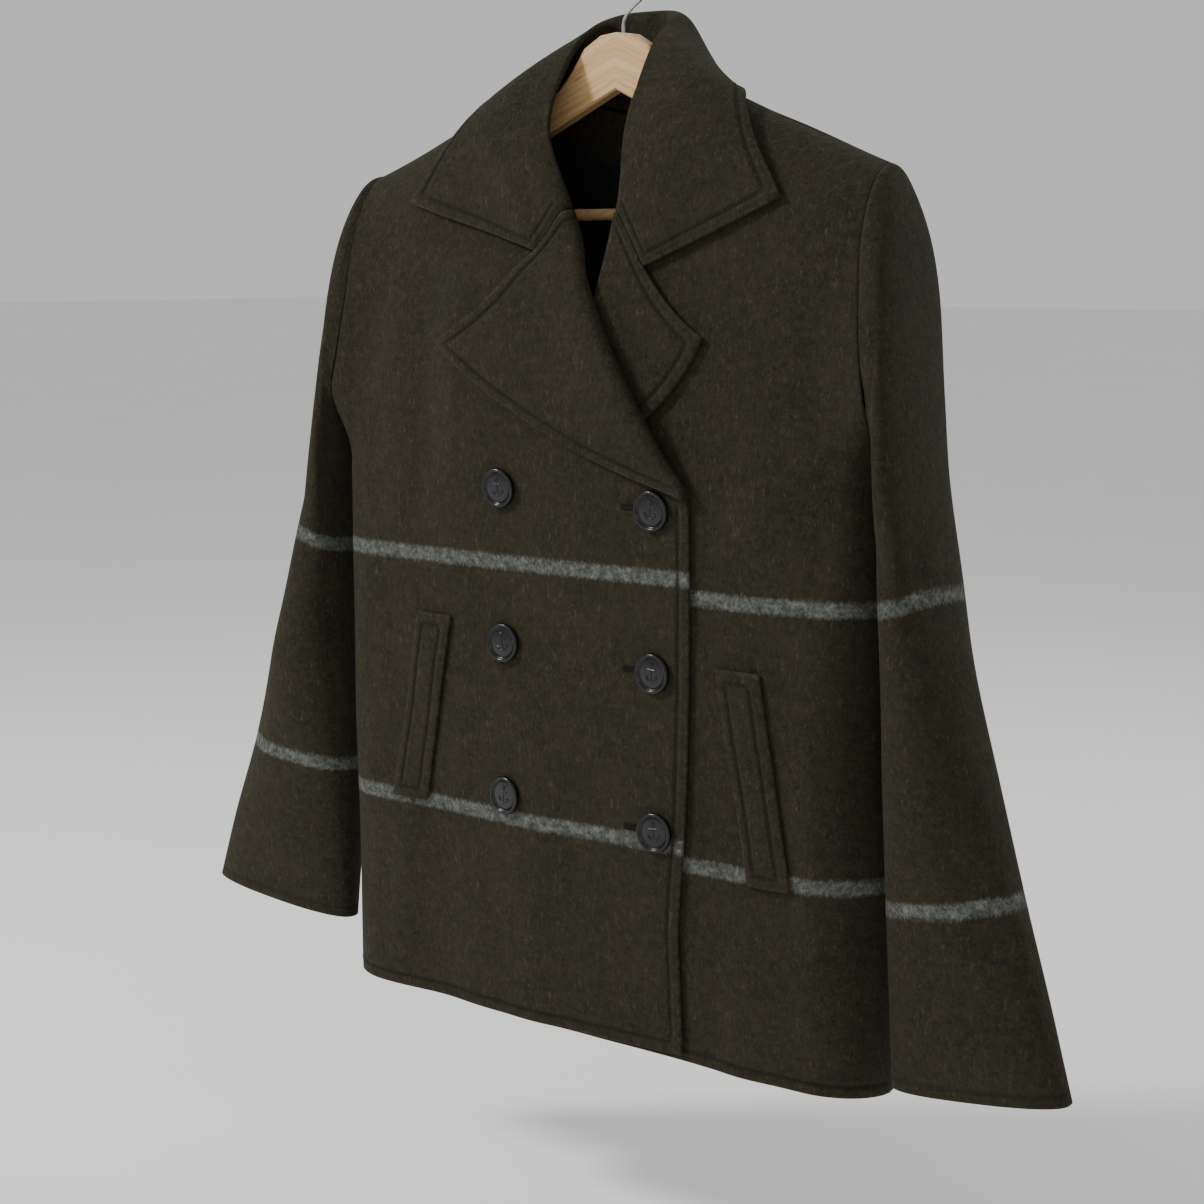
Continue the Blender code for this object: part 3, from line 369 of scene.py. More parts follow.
def grid_normals(middle, outward):
    """Unit normals of a grid, turned to the side that outward points to."""
    down = np.gradient(middle, axis=0, edge_order=2)
    across = np.gradient(middle, axis=1, edge_order=2)
    normal = np.cross(down, across)
    normal /= np.linalg.norm(normal, axis=2, keepdims=True)
    if (normal * outward).sum() < 0.0:
        normal = -normal
    return normal


def shoulder_height(x):
    """Height of the shoulder ridge."""
    return NECK_POINT_Z - SHOULDER_SLOPE * (np.abs(x) - NECK_POINT_X)


def half_width(z):
    """Half the width of the body, going on into the sleeves above the underarm."""
    return BODY_HALF_WIDTH + SHOULDER_WIDEN * smooth((z - UNDERARM_Z) / ARMHOLE_BLEND)


def side_shift(z):
    """How far the body hangs towards the wearer's right below the shoulders."""
    return BODY_SIDE_SHIFT * smooth((-0.22 - z) / 0.20)


def hem_height(across):
    """Height of the hem, lower towards the left side seam."""
    return HEM_Z - LEFT_HEM_DROP * smooth(across / 0.26)


def depth(z, face):
    """Depth of the front or the back from the plane of the side seams."""
    heights = [row[0] for row in DEPTH_ROWS]
    column = 1 if face == FRONT else 2
    return np.interp(z, heights, [row[column] for row in DEPTH_ROWS])


def corner_arc(z, face):
    """Length of the turn from the flat of the cloth to the side seam."""
    return 0.5 * math.pi * np.sqrt((CORNER ** 2 + depth(z, face) ** 2) / 2.0)


def side_reach(z, face):
    """Distance round the body from the centre line to the side seam."""
    return half_width(z) - CORNER + corner_arc(z, face)


def folds(across, z, face):
    """Rise of the cloth in its folds and creases, with the slow unevenness of hung wool."""
    rise = 0.0008 * np.sin(41.0 * across + 9.0 * z + face) * np.sin(23.0 * z - 13.0 * across)
    for on, place, lean, top, bottom, width, height in FOLD_ROWS + CREASE_ROWS:
        if on != face:
            continue
        middle = place + lean * (z - 0.5 * (top + bottom))
        reach = smooth((top - z) / 0.06) * smooth((z - bottom) / 0.06)
        rise = rise + height * reach * np.exp(-((across - middle) / width) ** 2)
    return rise


def cloth(across, z, face, out):
    """Point and outward normal, a distance out from the body's outer surface."""
    across, z = np.broadcast_arrays(np.asarray(across, float), np.asarray(z, float))
    side = np.where(across < 0.0, -1.0, 1.0)
    width, deep, arc = half_width(z), depth(z, face), corner_arc(z, face)
    flat = width - CORNER
    rate = 0.5 * math.pi / arc
    turn = np.maximum(np.abs(across) - flat, 0.0) * rate
    x = side * (np.minimum(np.abs(across), flat) + CORNER * np.sin(turn))
    lean = np.clip(1.0 - (shoulder_height(x) - z) / SHOULDER_ROLL, 0.0, 1.0)
    rise = np.sqrt(1.0 - lean ** 2)
    bulge = deep * (1.0 + CROWN * (1.0 - (x / width) ** 2))
    y = face * bulge * np.cos(turn) * rise
    x_rate = np.where(turn > 0.0, CORNER * np.cos(turn) * rate, 1.0)
    y_rate = -face * bulge * np.sin(turn) * rate * rise
    along = np.stack((side * x_rate, y_rate, -SHOULDER_SLOPE * x_rate), axis=-1)
    down = np.stack((0.0 * x, face * bulge * np.cos(turn) * lean, -SHOULDER_ROLL * rise), axis=-1)
    normal = np.cross(along, down) * (face * side)[..., None]
    normal /= np.linalg.norm(normal, axis=-1, keepdims=True)
    lift = (out + folds(across, z, face))[..., None]
    return np.stack((x + side_shift(z), y, z), axis=-1) + normal * lift, normal


def top_front_lift(across, z):
    """How far the overlapping front stands out over the front and lapel under it."""
    aside = smooth((across + 0.160) / 0.055)
    below_gorge = smooth((-0.225 - z) / 0.040)
    above_break = smooth((z + 0.436) / 0.060)
    return aside * below_gorge * (OVERLAP_LIFT + LAPEL_LIFT * above_break)


def roll_rows(points):
    """Rows up an edge: its even steps to the shoulder roll, then steps of the roll's angle."""
    drop = shoulder_height(points[:, 0]) - points[:, 1]
    half = len(points) // 2
    share = np.linspace(0.0, 1.0, len(points))
    drops = SHOULDER_ROLL * (1.0 - np.cos(np.array(ROLL_ANGLES)))
    places = np.interp(-drops, -drop[half:], share[half:])
    return places, lambda at: np.stack([np.interp(at, share, points[:, k]) for k in (0, 1)], axis=-1)


def armhole(face, steps=400):
    """Armhole edge from the underarm to the shoulder tip, on the wearer's left."""
    start = side_reach(UNDERARM_Z, face) - SEAM_GAP / 2.0
    tip_z = shoulder_height(SHOULDER_TIP_X)
    angle = np.linspace(0.0, math.pi / 2.0, steps + 1)
    across = start - (start - SHOULDER_TIP_X) * np.sin(angle)
    return np.stack((across, tip_z + (UNDERARM_Z - tip_z) * np.cos(angle)), axis=-1)


def outer_edge(face, side):
    """Side seam and armhole as rows of (across, height), across counted from the centre."""
    z = np.linspace(float(hem_height(side * 0.26)), UNDERARM_Z, LOW_ROWS + 1)[:-1]
    seam = np.stack((side_reach(z, face) - SEAM_GAP / 2.0, z), axis=-1)
    places, at = roll_rows(armhole(face))
    even = np.linspace(0.0, places[0], ROLL_ROWS + NECK_ROWS + 1)[:-1]
    return np.concatenate((seam, at(even), at(places)))


def inner_edge(column, break_point, roll_bow, gorge, side):
    """Front edge, roll line and neck edge as rows of (across, height)."""
    z = np.linspace(HEM_Z, break_point[1], LOW_ROWS + 1)[:-1]
    edge_x = np.interp(z, [row[0] for row in EDGE_ROWS], [row[column] for row in EDGE_ROWS])
    edge = np.stack((edge_x, z), axis=-1)
    roll = bow(break_point, roll_bow, gorge, ROLL_ROWS)
    neck = bow(gorge, (side * NECK_BOW[0], NECK_BOW[1]), (side * NECK_POINT_X, NECK_POINT_Z), 200)
    places, at = roll_rows(neck)
    even = np.linspace(0.0, places[0], NECK_ROWS + 1)[1:-1]
    return np.concatenate((edge, roll, at(even), at(places)))


def ruled(first, last, columns):
    """Grid of (across, height) places between two edges."""
    share = np.linspace(0.0, 1.0, columns)[None, :, None]
    return first[:, None, :] * (1.0 - share) + last[:, None, :] * share


def seat_tree(panel):
    """Search tree of a panel's faces, to lay pieces on the cloth as built."""
    mesh = panel.data
    return BVHTree.FromPolygons([v.co for v in mesh.vertices], [p.vertices for p in mesh.polygons])


def on_front(tree, x, z):
    """Point of a front's outer surface straight behind a place in the front view."""
    return np.array(tree.ray_cast(Vector((x, -1.0, z)), Vector((0.0, 1.0, 0.0)))[0])


def back_neck_height(across):
    """Height of the back's top edge: the neck curve, then the shoulder seam."""
    neck = NECK_POINT_Z - BACK_NECK_DROP * (1.0 - (across / NECK_POINT_X) ** 2)
    return np.where(np.abs(across) < NECK_POINT_X, neck, shoulder_height(across))


def back_places():
    """Grid of (across, height) places over the back, seam to seam."""
    outer, other = outer_edge(BACK, -1.0), outer_edge(BACK, 1.0)
    inside = NECK_POINT_X / SHOULDER_TIP_X
    half = np.concatenate((np.linspace(0.0, inside, BACK_NECK_COLUMNS),
                           np.linspace(inside, 1.0, BACK_SHOULDER_COLUMNS)[1:]))
    share = np.concatenate((-half[:0:-1], half))[None, :]
    across = share * outer[:, :1]
    top = back_neck_height(share * SHOULDER_TIP_X) - shoulder_height(SHOULDER_TIP_X)
    rows = np.arange(len(outer))[:, None]
    weight = np.clip((rows - LOW_ROWS) / (ROLL_ROWS + NECK_ROWS), 0.0, 1.0)
    level = outer[:, 1:] + (other[:, 1:] - outer[:, 1:]) * smooth(share)
    return across, level + top * weight


def flat_shares():
    """Shares of the way from a roll line to the free edge, the roll line left out."""
    return np.linspace(0.0, 1.0, COLLAR_FALL_COLUMNS - STAND_COLUMNS + 1)[1:, None]


def gorge_line(gorge, notch, tip, sag):
    """Places from the roll along the gorge seam to the notch, then on to a tip."""
    gorge, notch, tip = np.array(gorge), np.array(notch), np.array(tip)
    share = flat_shares()
    turn = GORGE_SHARE
    beyond = (share - turn) / (1.0 - turn)
    line = np.where(share <= turn, gorge + (notch - gorge) * share / turn, notch + (tip - notch) * beyond)
    line[:, 1] -= sag * np.sin(math.pi * np.clip(beyond[:, 0], 0.0, 1.0))
    return line


def lapel_section(roll, into, flat, radius, base_lift):
    """One run of cloth from a roll line, round its fold and out along a flat of given places."""
    angle = np.linspace(0.0, math.pi, LAPEL_ARC_COLUMNS + 1)
    arc = roll + into * (EDGE_GAP + radius * np.sin(angle))[:, None]
    arc_out = radius * (1.0 - np.cos(angle)) - CLOTH / 2.0
    flat_out = arc_out[-1] + (LAPEL_EDGE_OUT - arc_out[-1]) * smooth(flat_shares()[:, 0] * 1.3)
    places = np.concatenate((arc, flat))
    out = np.concatenate((arc_out, flat_out))
    return places, out + base_lift(places[:, 0], places[:, 1])


def no_lift(across, z):
    """The front underneath lies on the body's own surface."""
    return 0.0 * across * z


def across_roll(roll, side):
    """Unit steps in the cloth's plane from a roll line into the neck opening."""
    run = np.gradient(roll, axis=0)
    run /= np.linalg.norm(run, axis=1, keepdims=True)
    step = np.stack((run[:, 1], -run[:, 0]), axis=-1)
    return step * np.where(step[:, :1] * side > 0.0, -1.0, 1.0)


def lapel_grid(side, line, notch, tip, edge_bow, radius, lift):
    """Middle surface of a lapel, folded out from its roll line over the chest."""
    roll = bow(*line, ROLL_ROWS)
    edge = bow(line[0], edge_bow, tip, ROLL_ROWS)
    edge[0] = roll[0] + np.array([side * 0.006, 0.0])
    into = across_roll(roll, side)
    straight = roll[:, None] + (edge - roll)[:, None] * flat_shares()
    top = gorge_line(line[2], notch, tip, LAPEL_TOP_SAG)
    sections = []
    for k, share in enumerate(np.linspace(0.0, 1.0, len(roll))):
        size = BREAK_ROLL_RADIUS + (radius - BREAK_ROLL_RADIUS) * smooth(share / 0.4)
        flat = straight[k] + (top - straight[-1]) * share ** 3
        sections.append(lapel_section(roll[k], into[k], flat, size, lift))
    places = np.array([section[0] for section in sections])
    out = np.array([section[1] for section in sections])
    middle = cloth(places[..., 0], places[..., 1], FRONT, out)[0]
    return middle, grid_normals(middle, FORWARD)


def curve_between(start, start_handle, end_handle, end, steps):
    """Points along a smooth curve that leaves and meets its ends towards their handles."""
    t = np.linspace(0.0, 1.0, steps + 1)[:, None]
    return ((1.0 - t) ** 3 * start + 3.0 * t * (1.0 - t) ** 2 * start_handle
            + 3.0 * t ** 2 * (1.0 - t) * end_handle + t ** 3 * end)


def neck_seam_point(station, side):
    """Middle of the body's wall on the neck seam, for a station from back to front."""
    if station < 3:
        across = side * NECK_POINT_X * NECK_STATIONS[station]
        place = (across, back_neck_height(across))
        face = BACK
    else:
        gorge = RIGHT_GORGE if side < 0.0 else LEFT_GORGE
        neck = bow(gorge, (side * NECK_BOW[0], NECK_BOW[1]), (side * NECK_POINT_X, NECK_POINT_Z), 20)
        place = neck[17] if station == 3 else neck[9]
        face = FRONT
    return cloth(place[0], place[1], face, -CLOTH / 2.0)[0]


def collar_section(station, side):
    """Points of the collar at one station: up the stand, over the roll and down the fall."""
    _, roll, across, z, face = COLLAR_ROWS[station]
    roll = np.array([side * roll[0] if station else 0.0, roll[1], roll[2]])
    edge, off = cloth(side * across, z, face, COLLAR_EDGE_OUT)
    neck = neck_seam_point(station, side)
    outward = edge - neck
    outward[2] = 0.0
    outward /= np.linalg.norm(outward)
    rise = roll - neck
    neck = neck + rise / np.linalg.norm(rise) * NECK_GAP
    stand = curve_between(neck, neck + rise * 0.5, roll - outward * COLLAR_TURN * 0.6, roll, STAND_COLUMNS)
    high = edge + (roll - edge) * 0.5 + off * COLLAR_BULGE
    turned = roll + outward * COLLAR_TURN + off * COLLAR_BULGE * 0.4
    fall = curve_between(roll, turned, high, edge, COLLAR_FALL_COLUMNS)
    return np.concatenate((stand[:-1], fall))


def collar_end(side):
    """Last section of the collar: along the gorge seam to the notch, then to the tip."""
    gorge, notch, line, radius, lift = (
        (RIGHT_GORGE, RIGHT_NOTCH, (RIGHT_BREAK, RIGHT_ROLL_BOW), RIGHT_ROLL_RADIUS, top_front_lift)
        if side < 0.0 else
        (LEFT_GORGE, LEFT_NOTCH, (LEFT_BREAK, LEFT_ROLL_BOW), LEFT_ROLL_RADIUS, no_lift))
    into = across_roll(bow(*line, gorge, ROLL_ROWS), side)[-1]
    tip = (side * COLLAR_TIP[0], COLLAR_TIP[1])
    flat = gorge_line(gorge, notch, tip, 0.0)
    places, out = lapel_section(np.array(gorge), into, flat, radius, lift)
    seam = np.array(notch) - np.array(gorge)
    places += np.array([-seam[1] * side, abs(seam[0])]) / np.linalg.norm(seam) * GORGE_GAP
    return cloth(places[:, 0], places[:, 1], FRONT, out)[0]


def through(stations, steps):
    """Rows of a smooth loft through stations, which keep their places."""
    first = 2.0 * stations[:1] - stations[1:2]
    last = 2.0 * stations[-1:] - stations[-2:-1]
    guide = np.concatenate((first, stations, last))
    rows = []
    for k in range(len(stations) - 1):
        a, b, c, d = guide[k:k + 4]
        for step in range(steps):
            t = step / steps
            rows.append(0.5 * (2.0 * b + (c - a) * t + (2.0 * a - 5.0 * b + 4.0 * c - d) * t ** 2
                               + (3.0 * b - a - 3.0 * c + d) * t ** 3))
    rows.append(stations[-1])
    return np.array(rows)


def outer_tree(panel):
    """Search tree of the outer face of a wall of cloth alone."""
    mesh = panel.data
    inner = len(mesh.vertices) // 2
    outer = [p.vertices for p in mesh.polygons if max(p.vertices) < inner]
    return BVHTree.FromPolygons([v.co for v in mesh.vertices], outer)


def stand_clear(middle, back, fronts):
    """Move the collar's points that lie too near the body straight off it."""
    over, under = outer_tree(back), seat_tree(back)
    sides = [seat_tree(front) for front in fronts]
    for index in list(np.ndindex(middle.shape[:2])) * CLEARING_PASSES:
        point = Vector(middle[index])
        rolled = index[1] >= STAND_COLUMNS
        clear = FALL_CLEAR if rolled else STAND_CLEAR
        for tree in [over if rolled else under] + sides:
            place, normal, _, away = tree.find_nearest(point)
            away = math.copysign(away, (point - place).dot(normal))
            if -COLLAR_REACH < away < clear:
                point = point + normal * (clear - away)
        middle[index] = point
    return middle


def collar_grid(back, fronts):
    """Middle surface of the collar: stand, roll and fall, from tip to tip round the neck."""
    stations = [collar_end(-1.0)]
    stations += [collar_section(k, -1.0) for k in range(len(COLLAR_ROWS) - 1, 0, -1)]
    stations += [collar_section(k, 1.0) for k in range(len(COLLAR_ROWS))]
    stations += [collar_end(1.0)]
    middle = stand_clear(through(np.array(stations), COLLAR_STEPS), back, fronts)
    down = np.gradient(middle, axis=0, edge_order=2)
    along = np.gradient(middle, axis=1, edge_order=2)
    normal = np.cross(down, along)
    return middle, normal / np.linalg.norm(normal, axis=2, keepdims=True)


def armhole_loop(side, angle):
    """Points and outward normals of the body's wall round the armhole, stepped out to the sleeve."""
    points, normals = [], []
    for a in angle:
        face = FRONT if math.sin(a) >= 0.0 else BACK
        edge = armhole(face)
        fall = (1.0 - math.cos(a)) / 2.0
        tip_z = shoulder_height(SHOULDER_TIP_X)
        z = tip_z + (UNDERARM_Z - tip_z) * fall
        across = np.interp(z, edge[:, 1], edge[:, 0])
        point, normal = cloth(side * across, min(z, tip_z - 1.0e-7), face, -CLOTH / 2.0)
        point[0] += side * (ARMHOLE_GAP + UNDERARM_STEP * fall ** 2)
        points.append(point)
        normals.append(normal)
    return np.array(points), np.array(normals)


def sleeve_ring(row, side, angle):
    """Flattened ring of the sleeve between its inner and outer edge."""
    inner_x, inner_z, outer_x, outer_z, middle_y, half_depth = row
    inner = np.array([side * inner_x, 0.0, inner_z])
    outer = np.array([side * outer_x, 0.0, outer_z])
    power = 2.0 / SLEEVE_SQUARENESS
    wide = np.sign(np.cos(angle)) * np.abs(np.cos(angle)) ** power
    deep = np.sign(np.sin(angle)) * np.abs(np.sin(angle)) ** power
    ring = (inner + outer) / 2.0 + wide[:, None] * (outer - inner) / 2.0
    ring[:, 1] = middle_y - half_depth * deep
    return ring


def sleeve_grid(side):
    """Middle surface of a sleeve: rings from the armhole to the cuff."""
    angle = np.linspace(0.0, 2.0 * math.pi, SLEEVE_COLUMNS + 1)[:-1]
    loop, _ = armhole_loop(side, angle)
    last = len(SLEEVE_ROWS) - 1
    rings = [loop]
    for k, row in enumerate(SLEEVE_ROWS):
        ring = sleeve_ring(row, side, angle)
        ring[:, 2] += CUFF_DROP[side] * (k / last) ** 2
        ring[:, 0] += side * CUFF_SWING[side] * smooth((k - 3) / (last - 3)) * (np.cos(angle) + 1.0) / 2.0
        lift = 0.0 * angle
        for at, reach, place, rise in SLEEVE_FOLD_ROWS:
            off = (angle - place + math.pi) % (2.0 * math.pi) - math.pi
            lift += rise * math.exp(-((k - at) / reach) ** 2) * np.exp(-(off / 0.45) ** 2)
        ring[:, 0] += side_shift(ring[:, 2])
        centre = ring.mean(axis=0)
        spoke = ring - centre
        ring += spoke / np.linalg.norm(spoke, axis=1, keepdims=True) * lift[:, None]
        if k == 0:
            ring = 0.35 * loop + 0.65 * ring
        rings.append(ring)
    return np.array(rings), angle


def ring_normals(middle, side):
    """Outward normals of a stack of closed rings."""
    around = np.roll(middle, -1, axis=1) - np.roll(middle, 1, axis=1)
    down = np.gradient(middle, axis=0, edge_order=2)
    normal = np.cross(around, down) * side
    return normal / np.linalg.norm(normal, axis=2, keepdims=True)


def sleeve_creases(middle, angle, side):
    """Moves of a sleeve's points in its finer creases."""
    rows = np.arange(len(middle))[:, None]
    rise = 0.0 * middle[..., 0]
    for on, at, reach, place, spread, lean, height in SLEEVE_CREASES:
        if on != side:
            continue
        off = (angle[None, :] - place + math.pi) % (2.0 * math.pi) - math.pi
        level = at + lean * off * len(middle)
        rise += height * np.exp(-((rows - level) / reach) ** 2) * np.exp(-(off / spread) ** 2)
    spoke = middle - middle.mean(axis=1, keepdims=True)
    return spoke / np.linalg.norm(spoke, axis=2, keepdims=True) * rise[..., None]


def button_seat(tree, across, z):
    """Place and facing of a button, clear of every rise of the cloth under it."""
    centre = cloth(across, z, FRONT, 0.0)[0]
    turns = np.linspace(0.0, 2.0 * math.pi, 12, endpoint=False)
    rim = [on_front(tree, centre[0] + BUTTON_FOOT * math.cos(a), z + BUTTON_FOOT * math.sin(a))
           for a in turns]
    facing = np.cross(rim[0] - rim[6], rim[3] - rim[9])
    facing *= -np.sign(facing[1]) / np.linalg.norm(facing)
    middle = on_front(tree, centre[0], z)
    rise = max(float((point - middle) @ facing) for point in rim + [middle])
    return Vector(middle + facing * (rise + BUTTON_GAP)), Vector(facing)


def arc_from_start(middle, axis):
    """Distance along a grid's rows or columns from their first point."""
    step = np.linalg.norm(np.diff(middle, axis=axis), axis=2)
    zero = np.zeros_like(np.take(step, [0], axis=axis))
    return np.concatenate((zero, np.cumsum(step, axis=axis)), axis=axis)


def edge_distance(middle, sides):
    """Distance of each point of a grid from the named sides, which are topstitched."""
    far = np.full(middle.shape[:2], FAR)
    across, down = arc_from_start(middle, 1), arc_from_start(middle, 0)
    runs = {
        "first_column": across,
        "last_column": across[:, -1:] - across,
        "first_row": down,
        "last_row": down[-1:] - down,
    }
    for side in sides:
        far = np.minimum(far, runs[side])
    return far


def stripe_distance(z, heights):
    """Distance of heights from the middle of the nearest stripe."""
    return np.min([np.abs(z - height) for height in heights], axis=0)


def cloth_piece(name, node, look, middle, normal, thickness, stripe=None, edge=None):
    """A closed wall of cloth with softly rounded edges, carrying its stripe and edge distances."""
    rows, columns = middle.shape[:2]
    rim = [(0, c) for c in range(columns)]
    rim += [(r, columns - 1) for r in range(1, rows)]
    rim += [(rows - 1, c) for c in range(columns - 2, -1, -1)]
    rim += [(r, 0) for r in range(rows - 2, 0, -1)]
    edge_points = np.array([middle[place] for place in rim])
    inside = np.array([middle[min(max(r, 1), rows - 2), min(max(c, 1), columns - 2)] for r, c in rim])
    out = edge_points - inside
    out /= np.maximum(np.linalg.norm(out, axis=1, keepdims=True), 1.0e-9)
    half = thickness / 2.0
    flat = middle.reshape(-1, 3)
    facing = normal.reshape(-1, 3)
    points = np.concatenate((flat + facing * half, flat - facing * half, edge_points + out * EDGE_ROUND))
    back, round_from = rows * columns, 2 * rows * columns
    faces = []
    for r in range(rows - 1):
        for c in range(columns - 1):
            a = r * columns + c
            quad = (a, a + 1, a + columns + 1, a + columns)
            faces.append(quad)
            faces.append(tuple(back + v for v in reversed(quad)))
    for k, place in enumerate(rim):
        following = (k + 1) % len(rim)
        a = place[0] * columns + place[1]
        b = rim[following][0] * columns + rim[following][1]
        faces.append((b, a, round_from + k, round_from + following))
        faces.append((round_from + following, round_from + k, back + a, back + b))
    mesh = bpy.data.meshes.new(name)
    mesh.from_pydata(points.tolist(), [], faces)
    rim_index = [r * columns + c for r, c in rim]
    for label, values in (("stripe", stripe), ("edge", edge)):
        values = np.full(rows * columns, FAR) if values is None else np.asarray(values).reshape(-1)
        layer = mesh.attributes.new(label, "FLOAT", "POINT")
        layer.data.foreach_set("value", np.concatenate((values, values, values[rim_index])))
    shell = bmesh.new()
    shell.from_mesh(mesh)
    bmesh.ops.recalc_face_normals(shell, faces=shell.faces)
    shell.to_mesh(mesh)
    shell.free()
    mesh.shade_smooth()
    piece = bpy.data.objects.new(name, mesh)
    bpy.context.scene.collection.objects.link(piece)
    mesh.materials.append(MATERIALS[look]())
    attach(piece, "root")
    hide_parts(node)
    return piece


def declare(middle, with_pieces=()):
    """Work out the width, length and area of a piece of cloth, which are left unused."""
    width = float(arc_from_start(middle, 1)[:, -1].max())
    length = float(arc_from_start(middle, 0)[-1].max())
    down, across = np.diff(middle, axis=0)[:, :-1], np.diff(middle, axis=1)[:-1]
    area = float(np.linalg.norm(np.cross(down, across), axis=2).sum())
    area = min(max(area, 0.31 * width * length), width * length)


def settings():
    """The sizes and colours that a user may change."""
    return bpy.context.scene.pea_coat


def linear(code):
    """Linear colour of an sRGB hex code."""
    parts = [int(code[k:k + 2], 16) / 255.0 for k in (1, 3, 5)]
    return tuple(v / 12.92 if v <= 0.04045 else ((v + 0.055) / 1.055) ** 2.4 for v in parts)


def add_node(tree, kind, inputs=None, **values):
    """A node with its own settings, its sockets set or linked."""
    made = tree.nodes.new(kind)
    for key, value in values.items():
        setattr(made, key, value)
    for key, value in (inputs or {}).items():
        if isinstance(value, bpy.types.NodeSocket):
            tree.links.new(value, made.inputs[key])
        else:
            made.inputs[key].default_value = value
    return made


def new_material(name, roughness, **sockets):
    """A material's tree, its surface node and the object's own coordinates in metres."""
    material = bpy.data.materials.new(name)
    material.use_nodes = True
    tree = material.node_tree
    surface = tree.nodes["Principled BSDF"]
    surface.inputs["Roughness"].default_value = roughness
    for key, value in sockets.items():
        surface.inputs[key.replace("_", " ")].default_value = value
    place = add_node(tree, "ShaderNodeTexCoord").outputs["Object"]
    return material, tree, surface, place


def per_mm(size):
    """Scale of a pattern whose cells are a size in millimetres."""
    return 1000.0 / size


def mix(tree, share, first, second, blend="MIX"):
    """Two colours mixed by a share."""
    made = add_node(tree, "ShaderNodeMix", {0: share, 6: first, 7: second},
                    data_type="RGBA", blend_type=blend)
    return made.outputs[2]


def speckle(tree, place, size, detail=3.0, low=0.35, high=0.65, roughness=0.6, stretch=None):
    """Noise of a size in millimetres, spread to run from 0 to 1."""
    if stretch:
        place = add_node(tree, "ShaderNodeMapping", {0: place, 3: stretch}).outputs[0]
    noise = add_node(tree, "ShaderNodeTexNoise",
                     {0: place, "Scale": per_mm(size), "Detail": detail, "Roughness": roughness})
    return add_node(tree, "ShaderNodeMapRange", {0: noise.outputs[0], 1: low, 2: high}).outputs[0]


def maths(tree, operation, first, second=0.0):
    """One sum on two values."""
    return add_node(tree, "ShaderNodeMath", {0: first, 1: second}, operation=operation).outputs[0]


